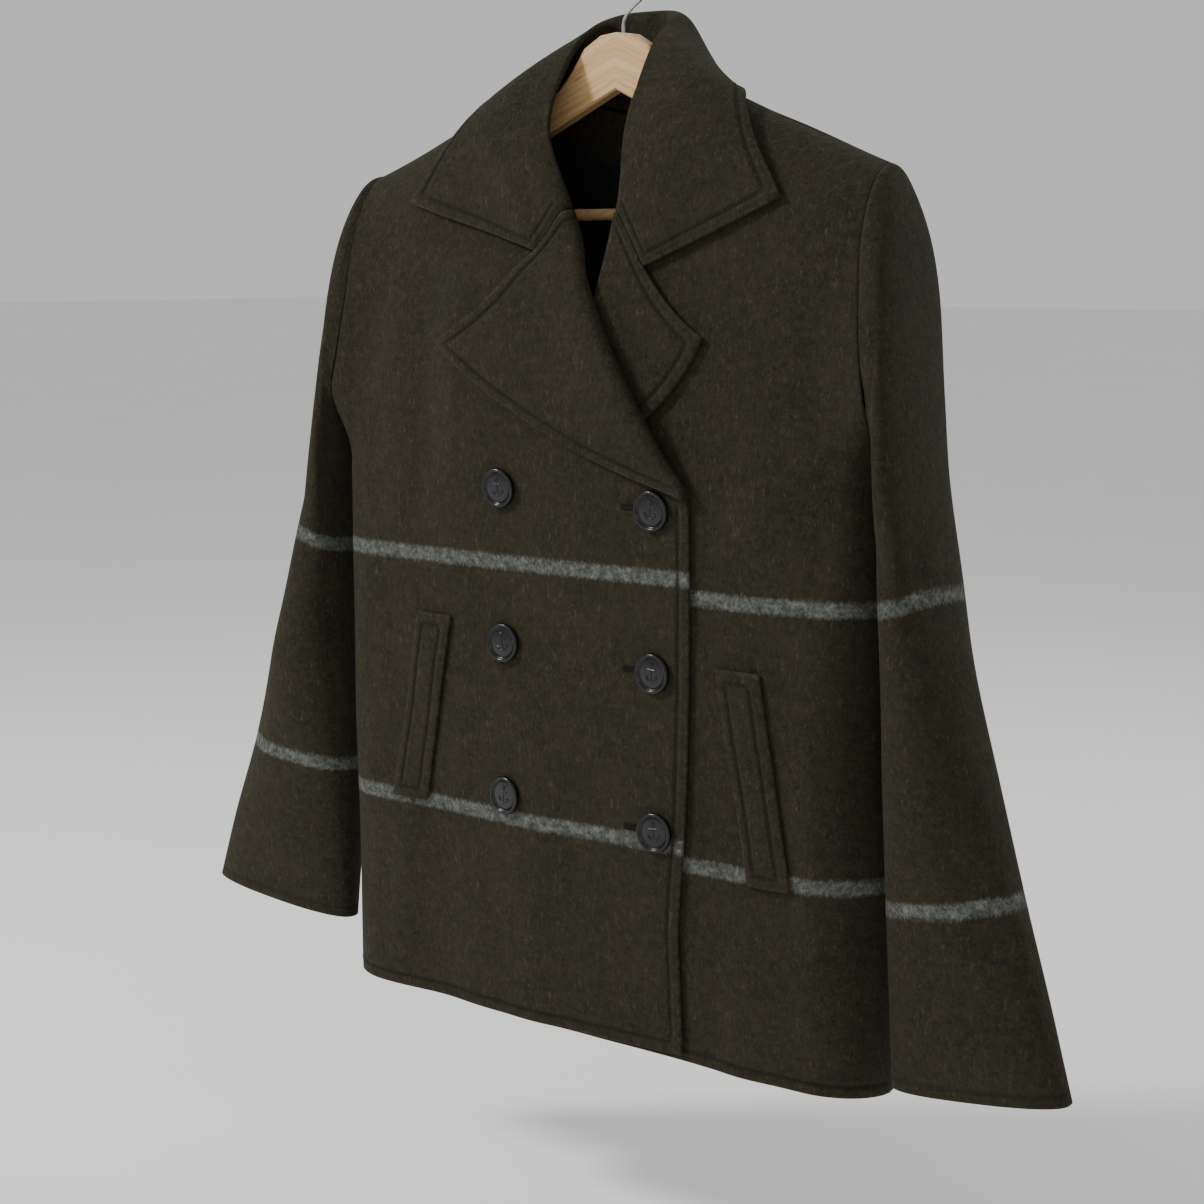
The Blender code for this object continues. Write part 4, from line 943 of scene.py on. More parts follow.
def melton_wool():
    """Milled melton wool, piece dyed dark olive brown, brushed and worn."""
    made = bpy.data.materials.get("melton wool, milled and brushed")
    if made:
        return made
    # Matt felted nap with single pale fibres; two stripes woven in, their edges felted into the ground
    values = settings()
    made, tree, surface, place = new_material(
        "melton wool, milled and brushed", 0.93, Sheen_Weight=0.28, Sheen_Roughness=0.38,
        Specular_IOR_Level=0.25)
    surface.inputs["Sheen Tint"].default_value = (*linear("#6f6a4e"), 1.0)
    # Nap in tufts of 7 mm and 2.6 mm, drawn coarser than the real 0.5 mm so that it shows
    tuft = speckle(tree, place, 7.0, 6.0, 0.42, 0.58, 0.80)
    nap = mix(tree, 0.50, tuft, speckle(tree, place, 2.6, 5.0, 0.38, 0.62, 0.75))
    fibre = speckle(tree, place, 3.0, 5.0, 0.56, 0.68, 0.85, (1.0, 1.0, 0.35))
    cloud = speckle(tree, place, 60.0, 3.0, 0.35, 0.68)
    streak = speckle(tree, place, 9.0, 3.0, 0.38, 0.66, 0.6, (0.35, 0.35, 1.6))
    ground = (*values.wool_colour, 1.0)
    colour = mix(tree, nap, (*linear("#0d0c05"), 1.0), ground)
    colour = mix(tree, maths(tree, "MULTIPLY", cloud, 0.30), colour, (*linear("#39351f"), 1.0))
    colour = mix(tree, maths(tree, "MULTIPLY", streak, 0.25), colour, (*linear("#14130a"), 1.0))
    colour = mix(tree, maths(tree, "MULTIPLY", fibre, 0.42), colour, (*linear("#6e684a"), 1.0))
    distance = add_node(tree, "ShaderNodeAttribute", attribute_name="stripe").outputs["Fac"]
    # Brushed streaks 2 mm wide run up and down across the stripe's edges
    ragged = speckle(tree, place, 2.0, 4.0, 0.25, 0.75, 0.75, (1.0, 1.0, 0.4))
    wander = maths(tree, "MULTIPLY", maths(tree, "SUBTRACT", ragged, 0.5), 0.0040)
    half = values.stripe_width / 2.0
    band = add_node(tree, "ShaderNodeMapRange", {
        0: maths(tree, "ADD", distance, wander), 1: half - 0.0022, 2: half + 0.0016, 3: 1.0, 4: 0.0},
        interpolation_type="SMOOTHSTEP").outputs[0]
    thin = add_node(tree, "ShaderNodeMapRange", {0: nap, 3: 0.45, 4: 0.95}).outputs[0]
    stripe = mix(tree, nap, (*linear("#4d524d"), 1.0), (*values.stripe_colour, 1.0))
    colour = mix(tree, maths(tree, "MULTIPLY", band, thin), colour, stripe)
    edge = add_node(tree, "ShaderNodeAttribute", attribute_name="edge").outputs["Fac"]
    off_seam = maths(tree, "ABSOLUTE", maths(tree, "SUBTRACT", edge, values.stitch_inset))
    groove = add_node(tree, "ShaderNodeMapRange", {0: off_seam, 1: 0.0, 2: 0.0036},
                      interpolation_type="SMOOTHSTEP").outputs[0]
    # Painted shade: the wool's colour is darkened along the stitch groove, where shade falls in the
    # pressed-in line
    sunk = add_node(tree, "ShaderNodeMapRange", {0: groove, 3: 0.55, 4: 0.0}).outputs[0]
    colour = mix(tree, sunk, colour, (*linear("#0f0d08"), 1.0))
    rubbed = add_node(tree, "ShaderNodeMapRange", {0: edge, 1: 0.0, 2: 0.0022, 3: 0.30, 4: 0.0}).outputs[0]
    colour = mix(tree, maths(tree, "MULTIPLY", rubbed, nap), colour, (*linear("#6a6048"), 1.0))
    tree.links.new(colour, surface.inputs["Base Color"])
    height = maths(tree, "ADD", maths(tree, "MULTIPLY", nap, 0.75), maths(tree, "MULTIPLY", groove, 1.4))
    height = maths(tree, "ADD", height, maths(tree, "MULTIPLY", streak, 0.30))
    bump = add_node(tree, "ShaderNodeBump", {"Height": height, "Strength": 1.0, "Distance": 0.0028})
    tree.links.new(bump.outputs[0], surface.inputs["Normal"])
    return made


def lining_twill():
    """Black viscose twill lining, woven, with a faint sheen along its ribs."""
    made = bpy.data.materials.get("viscose twill lining, woven")
    if made:
        return made
    # Soft black with a faint rib; the ribs lie 9.4 mm apart, far coarser than the real 0.4 mm
    made, tree, surface, place = new_material("viscose twill lining, woven", 0.48, Sheen_Weight=0.1)
    turned = add_node(tree, "ShaderNodeMapping", {0: place, 2: (0.0, math.radians(45.0), 0.0)}).outputs[0]
    rib = add_node(tree, "ShaderNodeTexWave",
                   {0: turned, "Scale": per_mm(RIB_PITCH) * WAVE_LENGTH, "Distortion": 0.6},
                   bands_direction="X")
    colour = mix(tree, rib.outputs[1], (*values_of("lining"), 1.0), (*linear("#17191d"), 1.0))
    tree.links.new(colour, surface.inputs["Base Color"])
    bump = add_node(tree, "ShaderNodeBump", {"Height": rib.outputs[1], "Strength": 0.3, "Distance": 0.0002})
    tree.links.new(bump.outputs[0], surface.inputs["Normal"])
    return made


def values_of(name):
    """A colour from the settings."""
    return tuple(getattr(settings(), name + "_colour"))


def moulded_button():
    """Urea plastic button, compression moulded and polished, scuffed on its high places."""
    made = bpy.data.materials.get("urea plastic, moulded and polished")
    if made:
        return made
    # Deep black gloss, duller where handling has scuffed it
    made, tree, surface, place = new_material(
        "urea plastic, moulded and polished", 0.22, IOR=1.48, Specular_IOR_Level=0.4)
    scuff = speckle(tree, place, 2.5, 5.0, 0.50, 0.74, 0.7)
    colour = mix(tree, scuff, (*values_of("button"), 1.0), (*linear("#141312"), 1.0))
    tree.links.new(colour, surface.inputs["Base Color"])
    dull = add_node(tree, "ShaderNodeMapRange", {0: scuff, 3: 0.20, 4: 0.36}).outputs[0]
    tree.links.new(dull, surface.inputs["Roughness"])
    bump = add_node(tree, "ShaderNodeBump", {"Height": scuff, "Strength": 0.15, "Distance": 0.0002})
    tree.links.new(bump.outputs[0], surface.inputs["Normal"])
    return made


def sewing_thread():
    """Polyester core-spun sewing thread, dyed to the cloth."""
    made = bpy.data.materials.get("polyester thread, spun and dyed")
    if made:
        return made
    # A little smoother and darker than the wool round it
    made, tree, surface, place = new_material(
        "polyester thread, spun and dyed", 0.75, Specular_IOR_Level=0.2)
    ply = speckle(tree, place, 0.5, 2.0)
    colour = mix(tree, ply, (*linear("#0e0d07"), 1.0), (*linear("#1e1b10"), 1.0))
    tree.links.new(colour, surface.inputs["Base Color"])
    return made


def varnished_beech():
    """Beech, sawn and planed, with a thin satin varnish."""
    made = bpy.data.materials.get("beech, planed and varnished")
    if made:
        return made
    # Straight grain along each arm, so the two halves meet in a chevron; short darker flecks
    made, tree, surface, place = new_material(
        "beech, planed and varnished", 0.42, IOR=1.5, Coat_Weight=0.25, Coat_Roughness=0.25)
    split = add_node(tree, "ShaderNodeSeparateXYZ", {0: place})
    mirrored = maths(tree, "ABSOLUTE", split.outputs[0])
    joined = add_node(tree, "ShaderNodeCombineXYZ", {0: mirrored, 1: split.outputs[1], 2: split.outputs[2]})
    along = add_node(tree, "ShaderNodeMapping",
                     {0: joined.outputs[0], 2: (0.0, math.radians(-24.0), 0.0)}).outputs[0]
    grain = speckle(tree, along, 22.0, 5.0, 0.32, 0.70, 0.62, (0.28, 3.0, 7.0))
    fleck = speckle(tree, along, 5.0, 2.0, 0.60, 0.70, 0.5, (0.35, 2.0, 5.0))
    colour = mix(tree, grain, (*linear("#b98f5c"), 1.0), (*values_of("wood"), 1.0))
    colour = mix(tree, maths(tree, "MULTIPLY", fleck, 0.55), colour, (*linear("#8a6238"), 1.0))
    tree.links.new(colour, surface.inputs["Base Color"])
    bump = add_node(tree, "ShaderNodeBump", {"Height": grain, "Strength": 0.12, "Distance": 0.0003})
    tree.links.new(bump.outputs[0], surface.inputs["Normal"])
    return made


def plated_wire():
    """Steel wire, drawn, bent and zinc plated."""
    made = bpy.data.materials.get("steel wire, drawn and zinc plated")
    if made:
        return made
    # Bright grey with slightly duller patches
    made, tree, surface, place = new_material("steel wire, drawn and zinc plated", 0.28, Metallic=1.0)
    surface.inputs["Base Color"].default_value = (*linear("#b4b6b8"), 1.0)
    patch = speckle(tree, place, 6.0, 4.0)
    dull = add_node(tree, "ShaderNodeMapRange", {0: patch, 3: 0.20, 4: 0.38}).outputs[0]
    tree.links.new(dull, surface.inputs["Roughness"])
    return made


MATERIALS = {
    "wool": melton_wool,
    "lining": lining_twill,
    "button": moulded_button,
    "thread": sewing_thread,
    "wood": varnished_beech,
    "steel": plated_wire,
}


def front_piece(name, node, side, inner, lift, heights):
    """A front panel with its topstitched hem and front edge."""
    outer = outer_edge(FRONT, side) * np.array([side, 1.0])
    places = ruled(outer, inner, FRONT_COLUMNS)
    across, z = places[..., 0], places[..., 1]
    out = -CLOTH / 2.0
    if lift:
        out = out + top_front_lift(across, z)
    middle, normal = cloth(across, z, FRONT, out)
    sewn = edge_distance(middle, ("first_row",))
    free = edge_distance(middle, ("last_column",))
    sewn[:LOW_ROWS] = np.minimum(sewn, free)[:LOW_ROWS]
    stripe = stripe_distance(middle[..., 2], heights)
    piece = cloth_piece(name, node, "wool", middle, normal, CLOTH, stripe, sewn)
    declare(middle)
    return middle, normal


def inset_path(middle, normal, thickness, inset, side):
    """Line on a piece's outer face, at an inset from one side of its grid."""
    if side in ("first_row", "last_row"):
        middle, normal = middle.transpose(1, 0, 2), normal.transpose(1, 0, 2)
    if side in ("last_row", "last_column"):
        middle, normal = middle[:, ::-1], normal[:, ::-1]
    far = arc_from_start(middle, 1)
    points, facing = [], []
    for row in range(len(middle)):
        if far[row, -1] < inset:
            continue
        points.append([np.interp(inset, far[row], middle[row, :, k]) for k in range(3)])
        facing.append([np.interp(inset, far[row], normal[row, :, k]) for k in range(3)])
    points, facing = np.array(points), np.array(facing)
    return points + facing * thickness / 2.0, facing


def trimmed(path, start, end):
    """A path without given lengths at its two ends."""
    points, facing = path
    run = np.concatenate(([0.0], np.cumsum(np.linalg.norm(np.diff(points, axis=0), axis=1))))
    keep = (run >= start) & (run <= run[-1] - end)
    return points[keep], facing[keep]


def stitch_mesh(name, stitches, thickness):
    """Short strands of thread, each from its start, end and facing, half sunk in the cloth."""
    rings = ((-0.50, 0.45, -0.55), (-0.34, 0.95, 0.0), (0.34, 0.95, 0.0), (0.50, 0.45, -0.55))
    turns = np.linspace(0.0, 2.0 * math.pi, STRAND_SIDES, endpoint=False)
    points, faces = [], []
    for start, end, facing in stitches:
        along = end - start
        aside = np.cross(along, facing)
        aside /= np.linalg.norm(aside)
        base = len(points)
        for place, size, sink in rings:
            centre = (start + end) / 2.0 + along * place + facing * thickness * 0.5 * (0.5 + sink)
            for turn in turns:
                spoke = aside * math.cos(turn) + facing * math.sin(turn)
                points.append(centre + spoke * size * thickness / 2.0)
        for ring in range(len(rings) - 1):
            for k in range(STRAND_SIDES):
                a = base + ring * STRAND_SIDES + k
                b = base + ring * STRAND_SIDES + (k + 1) % STRAND_SIDES
                faces.append((a, b, b + STRAND_SIDES, a + STRAND_SIDES))
        faces.append(tuple(base + k for k in reversed(range(STRAND_SIDES))))
        faces.append(tuple(base + (len(rings) - 1) * STRAND_SIDES + k for k in range(STRAND_SIDES)))
    mesh = bpy.data.meshes.new(name)
    mesh.from_pydata([tuple(p) for p in points], [], faces)
    mesh.shade_smooth()
    shell = bmesh.new()
    shell.from_mesh(mesh)
    bmesh.ops.recalc_face_normals(shell, faces=shell.faces)
    shell.to_mesh(mesh)
    shell.free()
    piece = bpy.data.objects.new(name, mesh)
    bpy.context.scene.collection.objects.link(piece)
    mesh.materials.append(sewing_thread())
    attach(piece, "root")
    return piece


def topstitching(name, paths):
    """A row of stitches along each path."""
    pitch = settings().stitch_length
    stitches = []
    for points, facing in paths:
        run = np.concatenate(([0.0], np.cumsum(np.linalg.norm(np.diff(points, axis=0), axis=1))))
        for at in np.arange(0.0, run[-1] - pitch, pitch):
            ends = [np.array([np.interp(at + share * pitch, run, points[:, k]) for k in range(3)])
                    for share in (0.10, 0.86)]
            up = np.array([np.interp(at, run, facing[:, k]) for k in range(3)])
            stitches.append((ends[0], ends[1], up / np.linalg.norm(up)))
    return stitch_mesh(name, stitches, THREAD)


def anchor_strokes():
    """Straight strokes of a plain anchor: shank, stock, arms with their points, and ring."""
    strokes = [ANCHOR_SHANK, ANCHOR_STOCK]
    arms = [(ARMS_WIDTH * math.sin(a), ARMS_CENTRE - ARMS_DEPTH * math.cos(a))
            for a in np.linspace(-ARMS_TURN, ARMS_TURN, 13)]
    strokes += list(zip(arms, arms[1:]))
    for tip, way in ((arms[0], 1.0), (arms[-1], -1.0)):
        strokes.append((tip, (tip[0] + way * POINT_IN, tip[1] - POINT_DOWN)))
    ring = [(RING_SIZE * math.sin(a), RING_CENTRE + RING_SIZE * math.cos(a))
            for a in np.linspace(0.0, 2.0 * math.pi, 11)]
    return strokes + list(zip(ring, ring[1:]))


def button_piece(number, seat, facing):
    """A turned rim, a sunk face with a raised anchor and a beaded border."""
    turns = np.linspace(0.0, 2.0 * math.pi, BUTTON_STEPS, endpoint=False)
    shell = bmesh.new()
    rings = []
    for radius, height in BUTTON_SECTION:
        rings.append([shell.verts.new((radius * math.cos(a), radius * math.sin(a), height)) for a in turns])
    for low, high in zip(rings, rings[1:]):
        for k in range(BUTTON_STEPS):
            following = (k + 1) % BUTTON_STEPS
            shell.faces.new((low[k], low[following], high[following], high[k]))
    shell.faces.new(reversed(rings[0]))
    shell.faces.new(rings[-1])
    for k in range(BEADS):
        turn = 2.0 * math.pi * k / BEADS
        bead = Matrix.Translation((BEAD_RING * math.cos(turn), BEAD_RING * math.sin(turn), BUTTON_FACE))
        bmesh.ops.create_icosphere(shell, subdivisions=1, radius=BEAD_RADIUS, matrix=bead)
    for start, end in anchor_strokes():
        start, end = Vector((*start, BUTTON_FACE)), Vector((*end, BUTTON_FACE))
        along = (end - start).to_track_quat("Z", "Y").to_matrix().to_4x4()
        place = Matrix.Translation((start + end) / 2.0) @ along
        bmesh.ops.create_cone(shell, cap_ends=True, segments=8, radius1=RELIEF, radius2=RELIEF,
                              depth=(end - start).length + RELIEF, matrix=place)
    mesh = bpy.data.meshes.new("pea_button_%d" % number)
    bmesh.ops.recalc_face_normals(shell, faces=shell.faces)
    turn = Vector((0.0, 0.0, 1.0)).rotation_difference(Vector(facing)).to_matrix().to_4x4()
    spin = Matrix.Rotation(math.radians(BUTTON_SPIN[number - 1]), 4, "Z")
    bmesh.ops.transform(shell, matrix=Matrix.Translation(Vector(seat)) @ turn @ spin, verts=shell.verts)
    shell.to_mesh(mesh)
    shell.free()
    mesh.shade_smooth()
    mesh.set_sharp_from_angle(angle=math.radians(50.0))
    piece = bpy.data.objects.new(mesh.name, mesh)
    bpy.context.scene.collection.objects.link(piece)
    mesh.materials.append(moulded_button())
    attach(piece, "root")
    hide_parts("button_%d" % number)
    return piece


def buttonhole(number, tree, across, z):
    """A worked buttonhole: two rows of close whip stitches round a slit, ends fanned."""
    stitches = []
    count = int(BUTTONHOLE_LENGTH / BUTTONHOLE_PITCH)
    for k in range(count + 1):
        along = -BUTTONHOLE_LENGTH / 2.0 + k * BUTTONHOLE_PITCH
        for way in (-1.0, 1.0):
            centre = cloth(across + along, z, FRONT, 0.0)[0][0]
            start = on_front(tree, centre, z + way * 0.0003)
            end = on_front(tree, centre, z + way * BUTTONHOLE_REACH)
            stitches.append((start, end, FORWARD))
    for end_side in (-1.0, 1.0):
        centre = cloth(across + end_side * BUTTONHOLE_LENGTH / 2.0, z, FRONT, 0.0)[0][0]
        for turn in np.linspace(-1.2, 1.2, 5):
            start = on_front(tree, centre, z)
            end = on_front(tree, centre + end_side * BUTTONHOLE_REACH * math.cos(turn),
                           z + BUTTONHOLE_REACH * math.sin(turn))
            stitches.append((start, end, FORWARD))
    return stitch_mesh("buttonhole_%d" % number, stitches, THREAD * 1.3)


class PeaCoatSettings(bpy.types.PropertyGroup):
    """Sizes and colours of the coat's finish."""

    wool_colour: bpy.props.FloatVectorProperty(
        name="Wool", description="Colour of the melton wool", subtype="COLOR", size=3, min=0.0, max=1.0,
        default=linear("#39341f"))
    stripe_colour: bpy.props.FloatVectorProperty(
        name="Stripe", description="Colour of the woven stripes", subtype="COLOR", size=3, min=0.0, max=1.0,
        default=linear("#878c87"))
    lining_colour: bpy.props.FloatVectorProperty(
        name="Lining", description="Colour of the lining", subtype="COLOR", size=3, min=0.0, max=1.0,
        default=linear("#0a0b0d"))
    button_colour: bpy.props.FloatVectorProperty(
        name="Buttons", description="Colour of the buttons", subtype="COLOR", size=3, min=0.0, max=1.0,
        default=linear("#0b0b0d"))
    wood_colour: bpy.props.FloatVectorProperty(
        name="Wood", description="Colour of the hanger's wood", subtype="COLOR", size=3, min=0.0, max=1.0,
        default=linear("#d8b587"))
    stripe_width: bpy.props.FloatProperty(
        name="Stripe width", description="Width of each woven stripe", unit="LENGTH", default=0.012)
    stitch_length: bpy.props.FloatProperty(
        name="Stitch length", description="Pitch of the topstitching", unit="LENGTH", default=0.0034)
    stitch_inset: bpy.props.FloatProperty(
        name="Stitch inset", description="Distance of the topstitching from the edge", unit="LENGTH",
        default=0.0085)


class COAT_OT_fronts(bpy.types.Operator):
    """Build the two fronts, the right one lying over the left"""

    bl_idname = "coat.fronts"
    bl_label = "Fronts"

    def execute(self, context):
        inset = settings().stitch_inset
        for side, label, column, line, lift in (
                (-1.0, "right", 1, (RIGHT_BREAK, RIGHT_ROLL_BOW, RIGHT_GORGE), True),
                (1.0, "left", 2, (LEFT_BREAK, LEFT_ROLL_BOW, LEFT_GORGE), False)):
            inner = inner_edge(column, *line, side)
            middle, normal = front_piece(
                "coat_front_" + label, "front_" + label, side, inner, lift, STRIPES[label])
            hem = trimmed(inset_path(middle, normal, CLOTH, inset, "first_row"), SEAM_TRIM, inset)
            paths = [hem]
            if lift:
                low = middle[:LOW_ROWS + 1], normal[:LOW_ROWS + 1]
                paths.append(trimmed(inset_path(*low, CLOTH, inset, "last_column"), inset, EDGE_TRIM))
            topstitching("topstitching_front_" + label, paths)
        return {"FINISHED"}


class COAT_OT_back(bpy.types.Operator):
    """Build the back and the lining inside it"""

    bl_idname = "coat.back"
    bl_label = "Back and lining"

    def execute(self, context):
        across, z = back_places()
        middle, normal = cloth(across, z, BACK, -CLOTH / 2.0)
        stripe = stripe_distance(middle[..., 2], STRIPES["back"])
        piece = cloth_piece("coat_back", "back", "wool", middle, normal, CLOTH, stripe,
                            edge_distance(middle, ("first_row",)))
        hem = inset_path(middle, normal, CLOTH, settings().stitch_inset, "first_row")
        sewn = topstitching("topstitching_back", [trimmed(hem, SEAM_TRIM, SEAM_TRIM)])
        declare(middle, [sewn])
        rows = slice(LINING_HEM_ROWS, 2 + LOW_ROWS + ROLL_ROWS + NECK_ROWS)
        columns = slice(LINING_SIDE_COLUMNS, -LINING_SIDE_COLUMNS)
        out = -CLOTH - LINING_GAP - LINING_CLOTH / 2.0
        middle, normal = cloth(across[rows, columns], z[rows, columns], BACK, out)
        lining = cloth_piece("coat_lining", "lining_back", "lining", middle, normal, LINING_CLOTH)
        declare(middle)
        return {"FINISHED"}


class COAT_OT_lapels(bpy.types.Operator):
    """Build the two lapels, folded out over the chest"""

    bl_idname = "coat.lapels"
    bl_label = "Lapels"

    def execute(self, context):
        inset = settings().stitch_inset
        for side, label, line, notch, tip, edge_bow, radius, lift in (
                (-1.0, "right", (RIGHT_BREAK, RIGHT_ROLL_BOW, RIGHT_GORGE), RIGHT_NOTCH, RIGHT_TIP,
                 RIGHT_LAPEL_BOW, RIGHT_ROLL_RADIUS, top_front_lift),
                (1.0, "left", (LEFT_BREAK, LEFT_ROLL_BOW, LEFT_GORGE), LEFT_NOTCH, LEFT_TIP,
                 LEFT_LAPEL_BOW, LEFT_ROLL_RADIUS, no_lift)):
            middle, normal = lapel_grid(side, line, notch, tip, edge_bow, radius, lift)
            piece = cloth_piece("coat_lapel_" + label, "lapel_" + label, "wool", middle, normal,
                                COLLAR_CLOTH, None, edge_distance(middle, ("last_column", "last_row")))
            edge = inset_path(middle, normal, COLLAR_CLOTH, inset, "last_column")
            edge = trimmed(edge, BREAK_TRIM, inset)
            flat = slice(LAPEL_ARC_COLUMNS + FLAT_FROM, None)
            top = inset_path(middle[:, flat], normal[:, flat], COLLAR_CLOTH, inset, "last_row")
            sewn = topstitching("topstitching_lapel_" + label, [edge, trimmed(top, 0.0, inset)])
            declare(middle, [sewn])
        return {"FINISHED"}


class COAT_OT_collar(bpy.types.Operator):
    """Build the collar round the neck, from tip to tip"""

    bl_idname = "coat.collar"
    bl_label = "Collar"

    def execute(self, context):
        back = bpy.data.objects["coat_back"]
        fronts = [bpy.data.objects["coat_front_right"], bpy.data.objects["coat_front_left"]]
        middle, normal = collar_grid(back, fronts)
        inset = settings().stitch_inset
        sewn = edge_distance(middle, ("last_column", "first_row", "last_row"))
        sewn[:, :LAPEL_ARC_COLUMNS] = FAR
        piece = cloth_piece("coat_collar", "collar", "wool", middle, normal, COLLAR_CLOTH, None, sewn)
        flat = slice(LAPEL_ARC_COLUMNS + 2 * FLAT_FROM, None)
        paths = [trimmed(inset_path(middle, normal, COLLAR_CLOTH, inset, "last_column"), inset, inset)]
        for row in ("first_row", "last_row"):
            paths.append(trimmed(inset_path(middle[:, flat], normal[:, flat], COLLAR_CLOTH, inset, row),
                                 0.0, inset))
        declare(middle, [topstitching("topstitching_collar", paths)])
        return {"FINISHED"}


class COAT_OT_sleeves(bpy.types.Operator):
    """Build the two-piece sleeves"""

    bl_idname = "coat.sleeves"
    bl_label = "Sleeves"

    def execute(self, context):
        for side, label in ((-1.0, "right"), (1.0, "left")):
            rings, angle = sleeve_grid(side)
            middle = through(rings, SLEEVE_STEPS)
            middle = middle + sleeve_creases(middle, angle, side)
            normal = ring_normals(middle, side)
            hold = smooth((np.cos(angle) + 0.5) / 0.8)[:, None]
            edge = armhole_loop(side, angle)[1] * hold + normal[0] * (1.0 - hold)
            for row in range(SLEEVE_STEPS * 2):
                share = 1.0 - smooth(row / (2.0 * SLEEVE_STEPS))
                normal[row] = edge * share + normal[row] * (1.0 - share)
            normal /= np.linalg.norm(normal, axis=2, keepdims=True)
            around = np.roll(middle, -1, axis=1) - np.roll(middle, 1, axis=1)
            run = np.gradient(middle, axis=0)
            run /= np.linalg.norm(run, axis=2, keepdims=True)
            around -= (around * run).sum(axis=2, keepdims=True) * run
            around /= np.linalg.norm(around, axis=2, keepdims=True)
            low = int(np.argmin(np.abs(angle - UNDER_SLEEVE_FROM)))
            high = int(np.argmin(np.abs(angle - UNDER_SLEEVE_TO)))
            reach = ((1.0 + np.cos(angle)) / 2.0)[None, :]
            stripe = np.min([np.abs(middle[..., 2] - (inner + (outer - inner) * reach))
                             for outer, inner in SLEEVE_STRIPES[side]], axis=0)
            for kind, columns in (
                    ("under", list(range(low, high + 1))),
                    ("top", list(range(high, len(angle))) + list(range(0, low + 1)))):
                part, face = middle[:, columns].copy(), normal[:, columns]
                part[:, 0] += around[:, columns[0]] * SLEEVE_SEAM_GAP / 2.0
                part[:, -1] -= around[:, columns[-1]] * SLEEVE_SEAM_GAP / 2.0
                piece = cloth_piece("coat_sleeve_%s_%s" % (kind, label), "sleeve_%s_%s" % (kind, label),
                                    "wool", part, face, CLOTH, stripe[:, columns],
                                    edge_distance(part, ("last_row",)))
                declare(part)
        return {"FINISHED"}


class COAT_OT_pockets(bpy.types.Operator):
    """Build the slanted pocket welts"""

    bl_idname = "coat.pockets"
    bl_label = "Pocket welts"

    def execute(self, context):
        for name, body_side, top, bottom in WELT_ROWS:
            label = "right" if body_side < 0.0 else "left"
            tree = seat_tree(bpy.data.objects["coat_front_" + label])
            share = np.linspace(0.0, 1.0, WELT_LENGTH_ROWS)[:, None, None]
            places = np.repeat(np.array(top) * (1.0 - share) + np.array(bottom) * share, WELT_COLUMNS, axis=1)
            places[..., 0] += np.linspace(-0.5, 0.5, WELT_COLUMNS)[None, :] * WELT_WIDTH
            laid, normal = cloth(places[..., 0], places[..., 1], FRONT, 0.0)
            laid = np.array([[on_front(tree, p[0], p[2]) for p in row] for row in laid])
            pillow = np.sin(np.linspace(0.0, math.pi, WELT_COLUMNS))[None, :, None] ** 0.5 * WELT_PILLOW
            middle = laid + normal * (WELT_GAP + WELT_CLOTH / 2.0 + pillow)
            piece = cloth_piece("pocket_" + name, name, "wool", middle, normal, WELT_CLOTH, None,
                                edge_distance(middle, ALL_SIDES))
            inset = settings().stitch_inset
            sides = [trimmed(inset_path(middle, normal, WELT_CLOTH, inset, side), inset, inset)
                     for side in ALL_SIDES]
            declare(middle,
                    [topstitching("topstitching_" + name, sides)])
        return {"FINISHED"}


class COAT_OT_buttons(bpy.types.Operator):
    """Seat the six buttons and work the buttonholes beside them"""

    bl_idname = "coat.buttons"
    bl_label = "Buttons and buttonholes"

    def execute(self, context):
        tree = seat_tree(bpy.data.objects["coat_front_right"])
        number = 0
        for row in range(BUTTON_ROW_COUNT):
            for across, top in BUTTON_COLUMNS:
                z = top - row * BUTTON_ROW_STEP
                number += 1
                seat, facing = button_seat(tree, across, z)
                button_piece(number, seat, facing)
                if across > 0.0:
                    buttonhole(row + 1, tree, across - BUTTONHOLE_ASIDE, z + 0.001)
        return {"FINISHED"}


class COAT_OT_hanger(bpy.types.Operator):
    """Give the hanger, its bar and its hook their finishes"""

    bl_idname = "coat.hanger"
    bl_label = "Hanger"

    def execute(self, context):
        for name, look in (("hanger_body", "wood"), ("hanger_bar", "wood"), ("hanger_hook", "steel")):
            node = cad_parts[name]
            finish = MATERIALS[look]()
            for place in node.material_slots:
                place.material = finish
            if not node.material_slots:
                node.data.materials.append(finish)
        return {"FINISHED"}


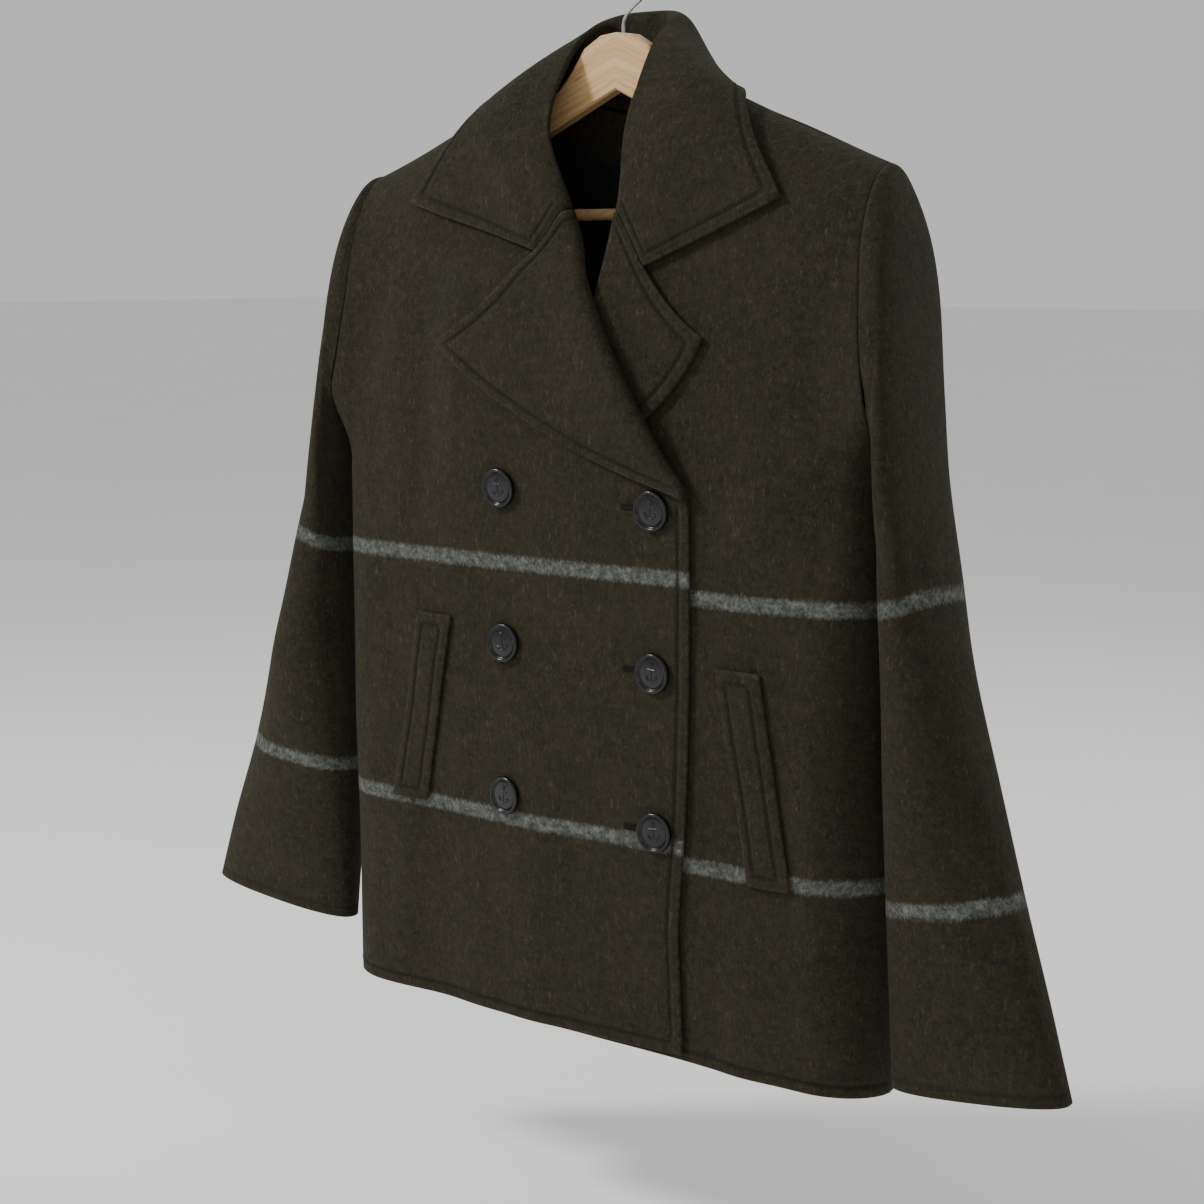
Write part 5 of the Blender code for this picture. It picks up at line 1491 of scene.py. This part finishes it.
class COAT_OT_stage(bpy.types.Operator):
    """Set the pale floor, the soft studio light and the camera"""

    bl_idname = "coat.stage"
    bl_label = "Stage"

    def execute(self, context):
        floor_mesh = bpy.data.meshes.new("studio_floor")
        size = FLOOR_SIZE
        floor_mesh.from_pydata([(-size, -size, FLOOR_Z), (size, -size, FLOOR_Z), (size, size, FLOOR_Z),
                                (-size, size, FLOOR_Z)], [], [(0, 1, 2, 3)])
        floor = bpy.data.objects.new("studio_floor", floor_mesh)
        context.scene.collection.objects.link(floor)
        made, tree, surface, place = new_material("painted board, matt and pale", 0.9)
        tone = speckle(tree, place, 400.0, 2.0)
        colour = mix(tree, maths(tree, "MULTIPLY", tone, 0.2), (*linear("#f1f1f0"), 1.0),
                     (*linear("#e8e8e7"), 1.0))
        tree.links.new(colour, surface.inputs["Base Color"])
        floor_mesh.materials.append(made)
        world = bpy.data.worlds.new("studio")
        world.use_nodes = True
        sky = world.node_tree.nodes["Background"]
        sky.inputs["Color"].default_value = (1.0, 1.0, 1.0, 1.0)
        sky.inputs["Strength"].default_value = SKY_STRENGTH
        context.scene.world = world
        for name, place, power, reach in LAMPS:
            lamp = bpy.data.lights.new(name, "AREA")
            lamp.energy = power
            lamp.shape = "DISK"
            lamp.size = reach
            holder = bpy.data.objects.new(name, lamp)
            holder.location = place
            holder.rotation_euler = (Vector(LAMP_AIM) - Vector(place)).to_track_quat("-Z", "Y").to_euler()
            context.scene.collection.objects.link(holder)
        camera = bpy.data.cameras.new("camera")
        camera.lens = CAMERA_LENS
        camera.sensor_width = CAMERA_SENSOR
        eye = bpy.data.objects.new("camera", camera)
        eye.location = CAMERA_EYE
        turn, tilt = math.radians(CAMERA_AZIMUTH), math.radians(CAMERA_TILT)
        ahead = Vector((-math.sin(turn) * math.cos(tilt), math.cos(turn) * math.cos(tilt), -math.sin(tilt)))
        eye.rotation_euler = ahead.to_track_quat("-Z", "Y").to_euler()
        context.scene.collection.objects.link(eye)
        context.scene.camera = eye
        return {"FINISHED"}


OPERATORS = (COAT_OT_fronts, COAT_OT_back, COAT_OT_lapels, COAT_OT_collar, COAT_OT_sleeves,
             COAT_OT_pockets, COAT_OT_buttons, COAT_OT_hanger, COAT_OT_stage)


class COAT_PT_panel(bpy.types.Panel):
    """The coat's pieces and finishes in the sidebar"""

    bl_idname = "COAT_PT_panel"
    bl_label = "Pea coat"
    bl_space_type = "VIEW_3D"
    bl_region_type = "UI"
    bl_category = "Pea coat"

    def draw(self, context):
        for field in PeaCoatSettings.__annotations__:
            self.layout.prop(context.scene.pea_coat, field)
        for operator in OPERATORS:
            self.layout.operator(operator.bl_idname)


def register():
    """Add the settings, operators and panel."""
    for entry in (PeaCoatSettings, *OPERATORS, COAT_PT_panel):
        bpy.utils.register_class(entry)
    bpy.types.Scene.pea_coat = bpy.props.PointerProperty(type=PeaCoatSettings)


def unregister():
    """Take the settings, operators and panel away."""
    del bpy.types.Scene.pea_coat
    for entry in reversed((PeaCoatSettings, *OPERATORS, COAT_PT_panel)):
        bpy.utils.unregister_class(entry)


def main():
    """Build the coat's looks."""
    register()
    bpy.ops.coat.fronts()
    bpy.ops.coat.back()
    bpy.ops.coat.lapels()
    bpy.ops.coat.collar()
    bpy.ops.coat.sleeves()
    bpy.ops.coat.pockets()
    bpy.ops.coat.buttons()
    bpy.ops.coat.hanger()
    bpy.ops.coat.stage()


if __name__ == "__main__":
    main()
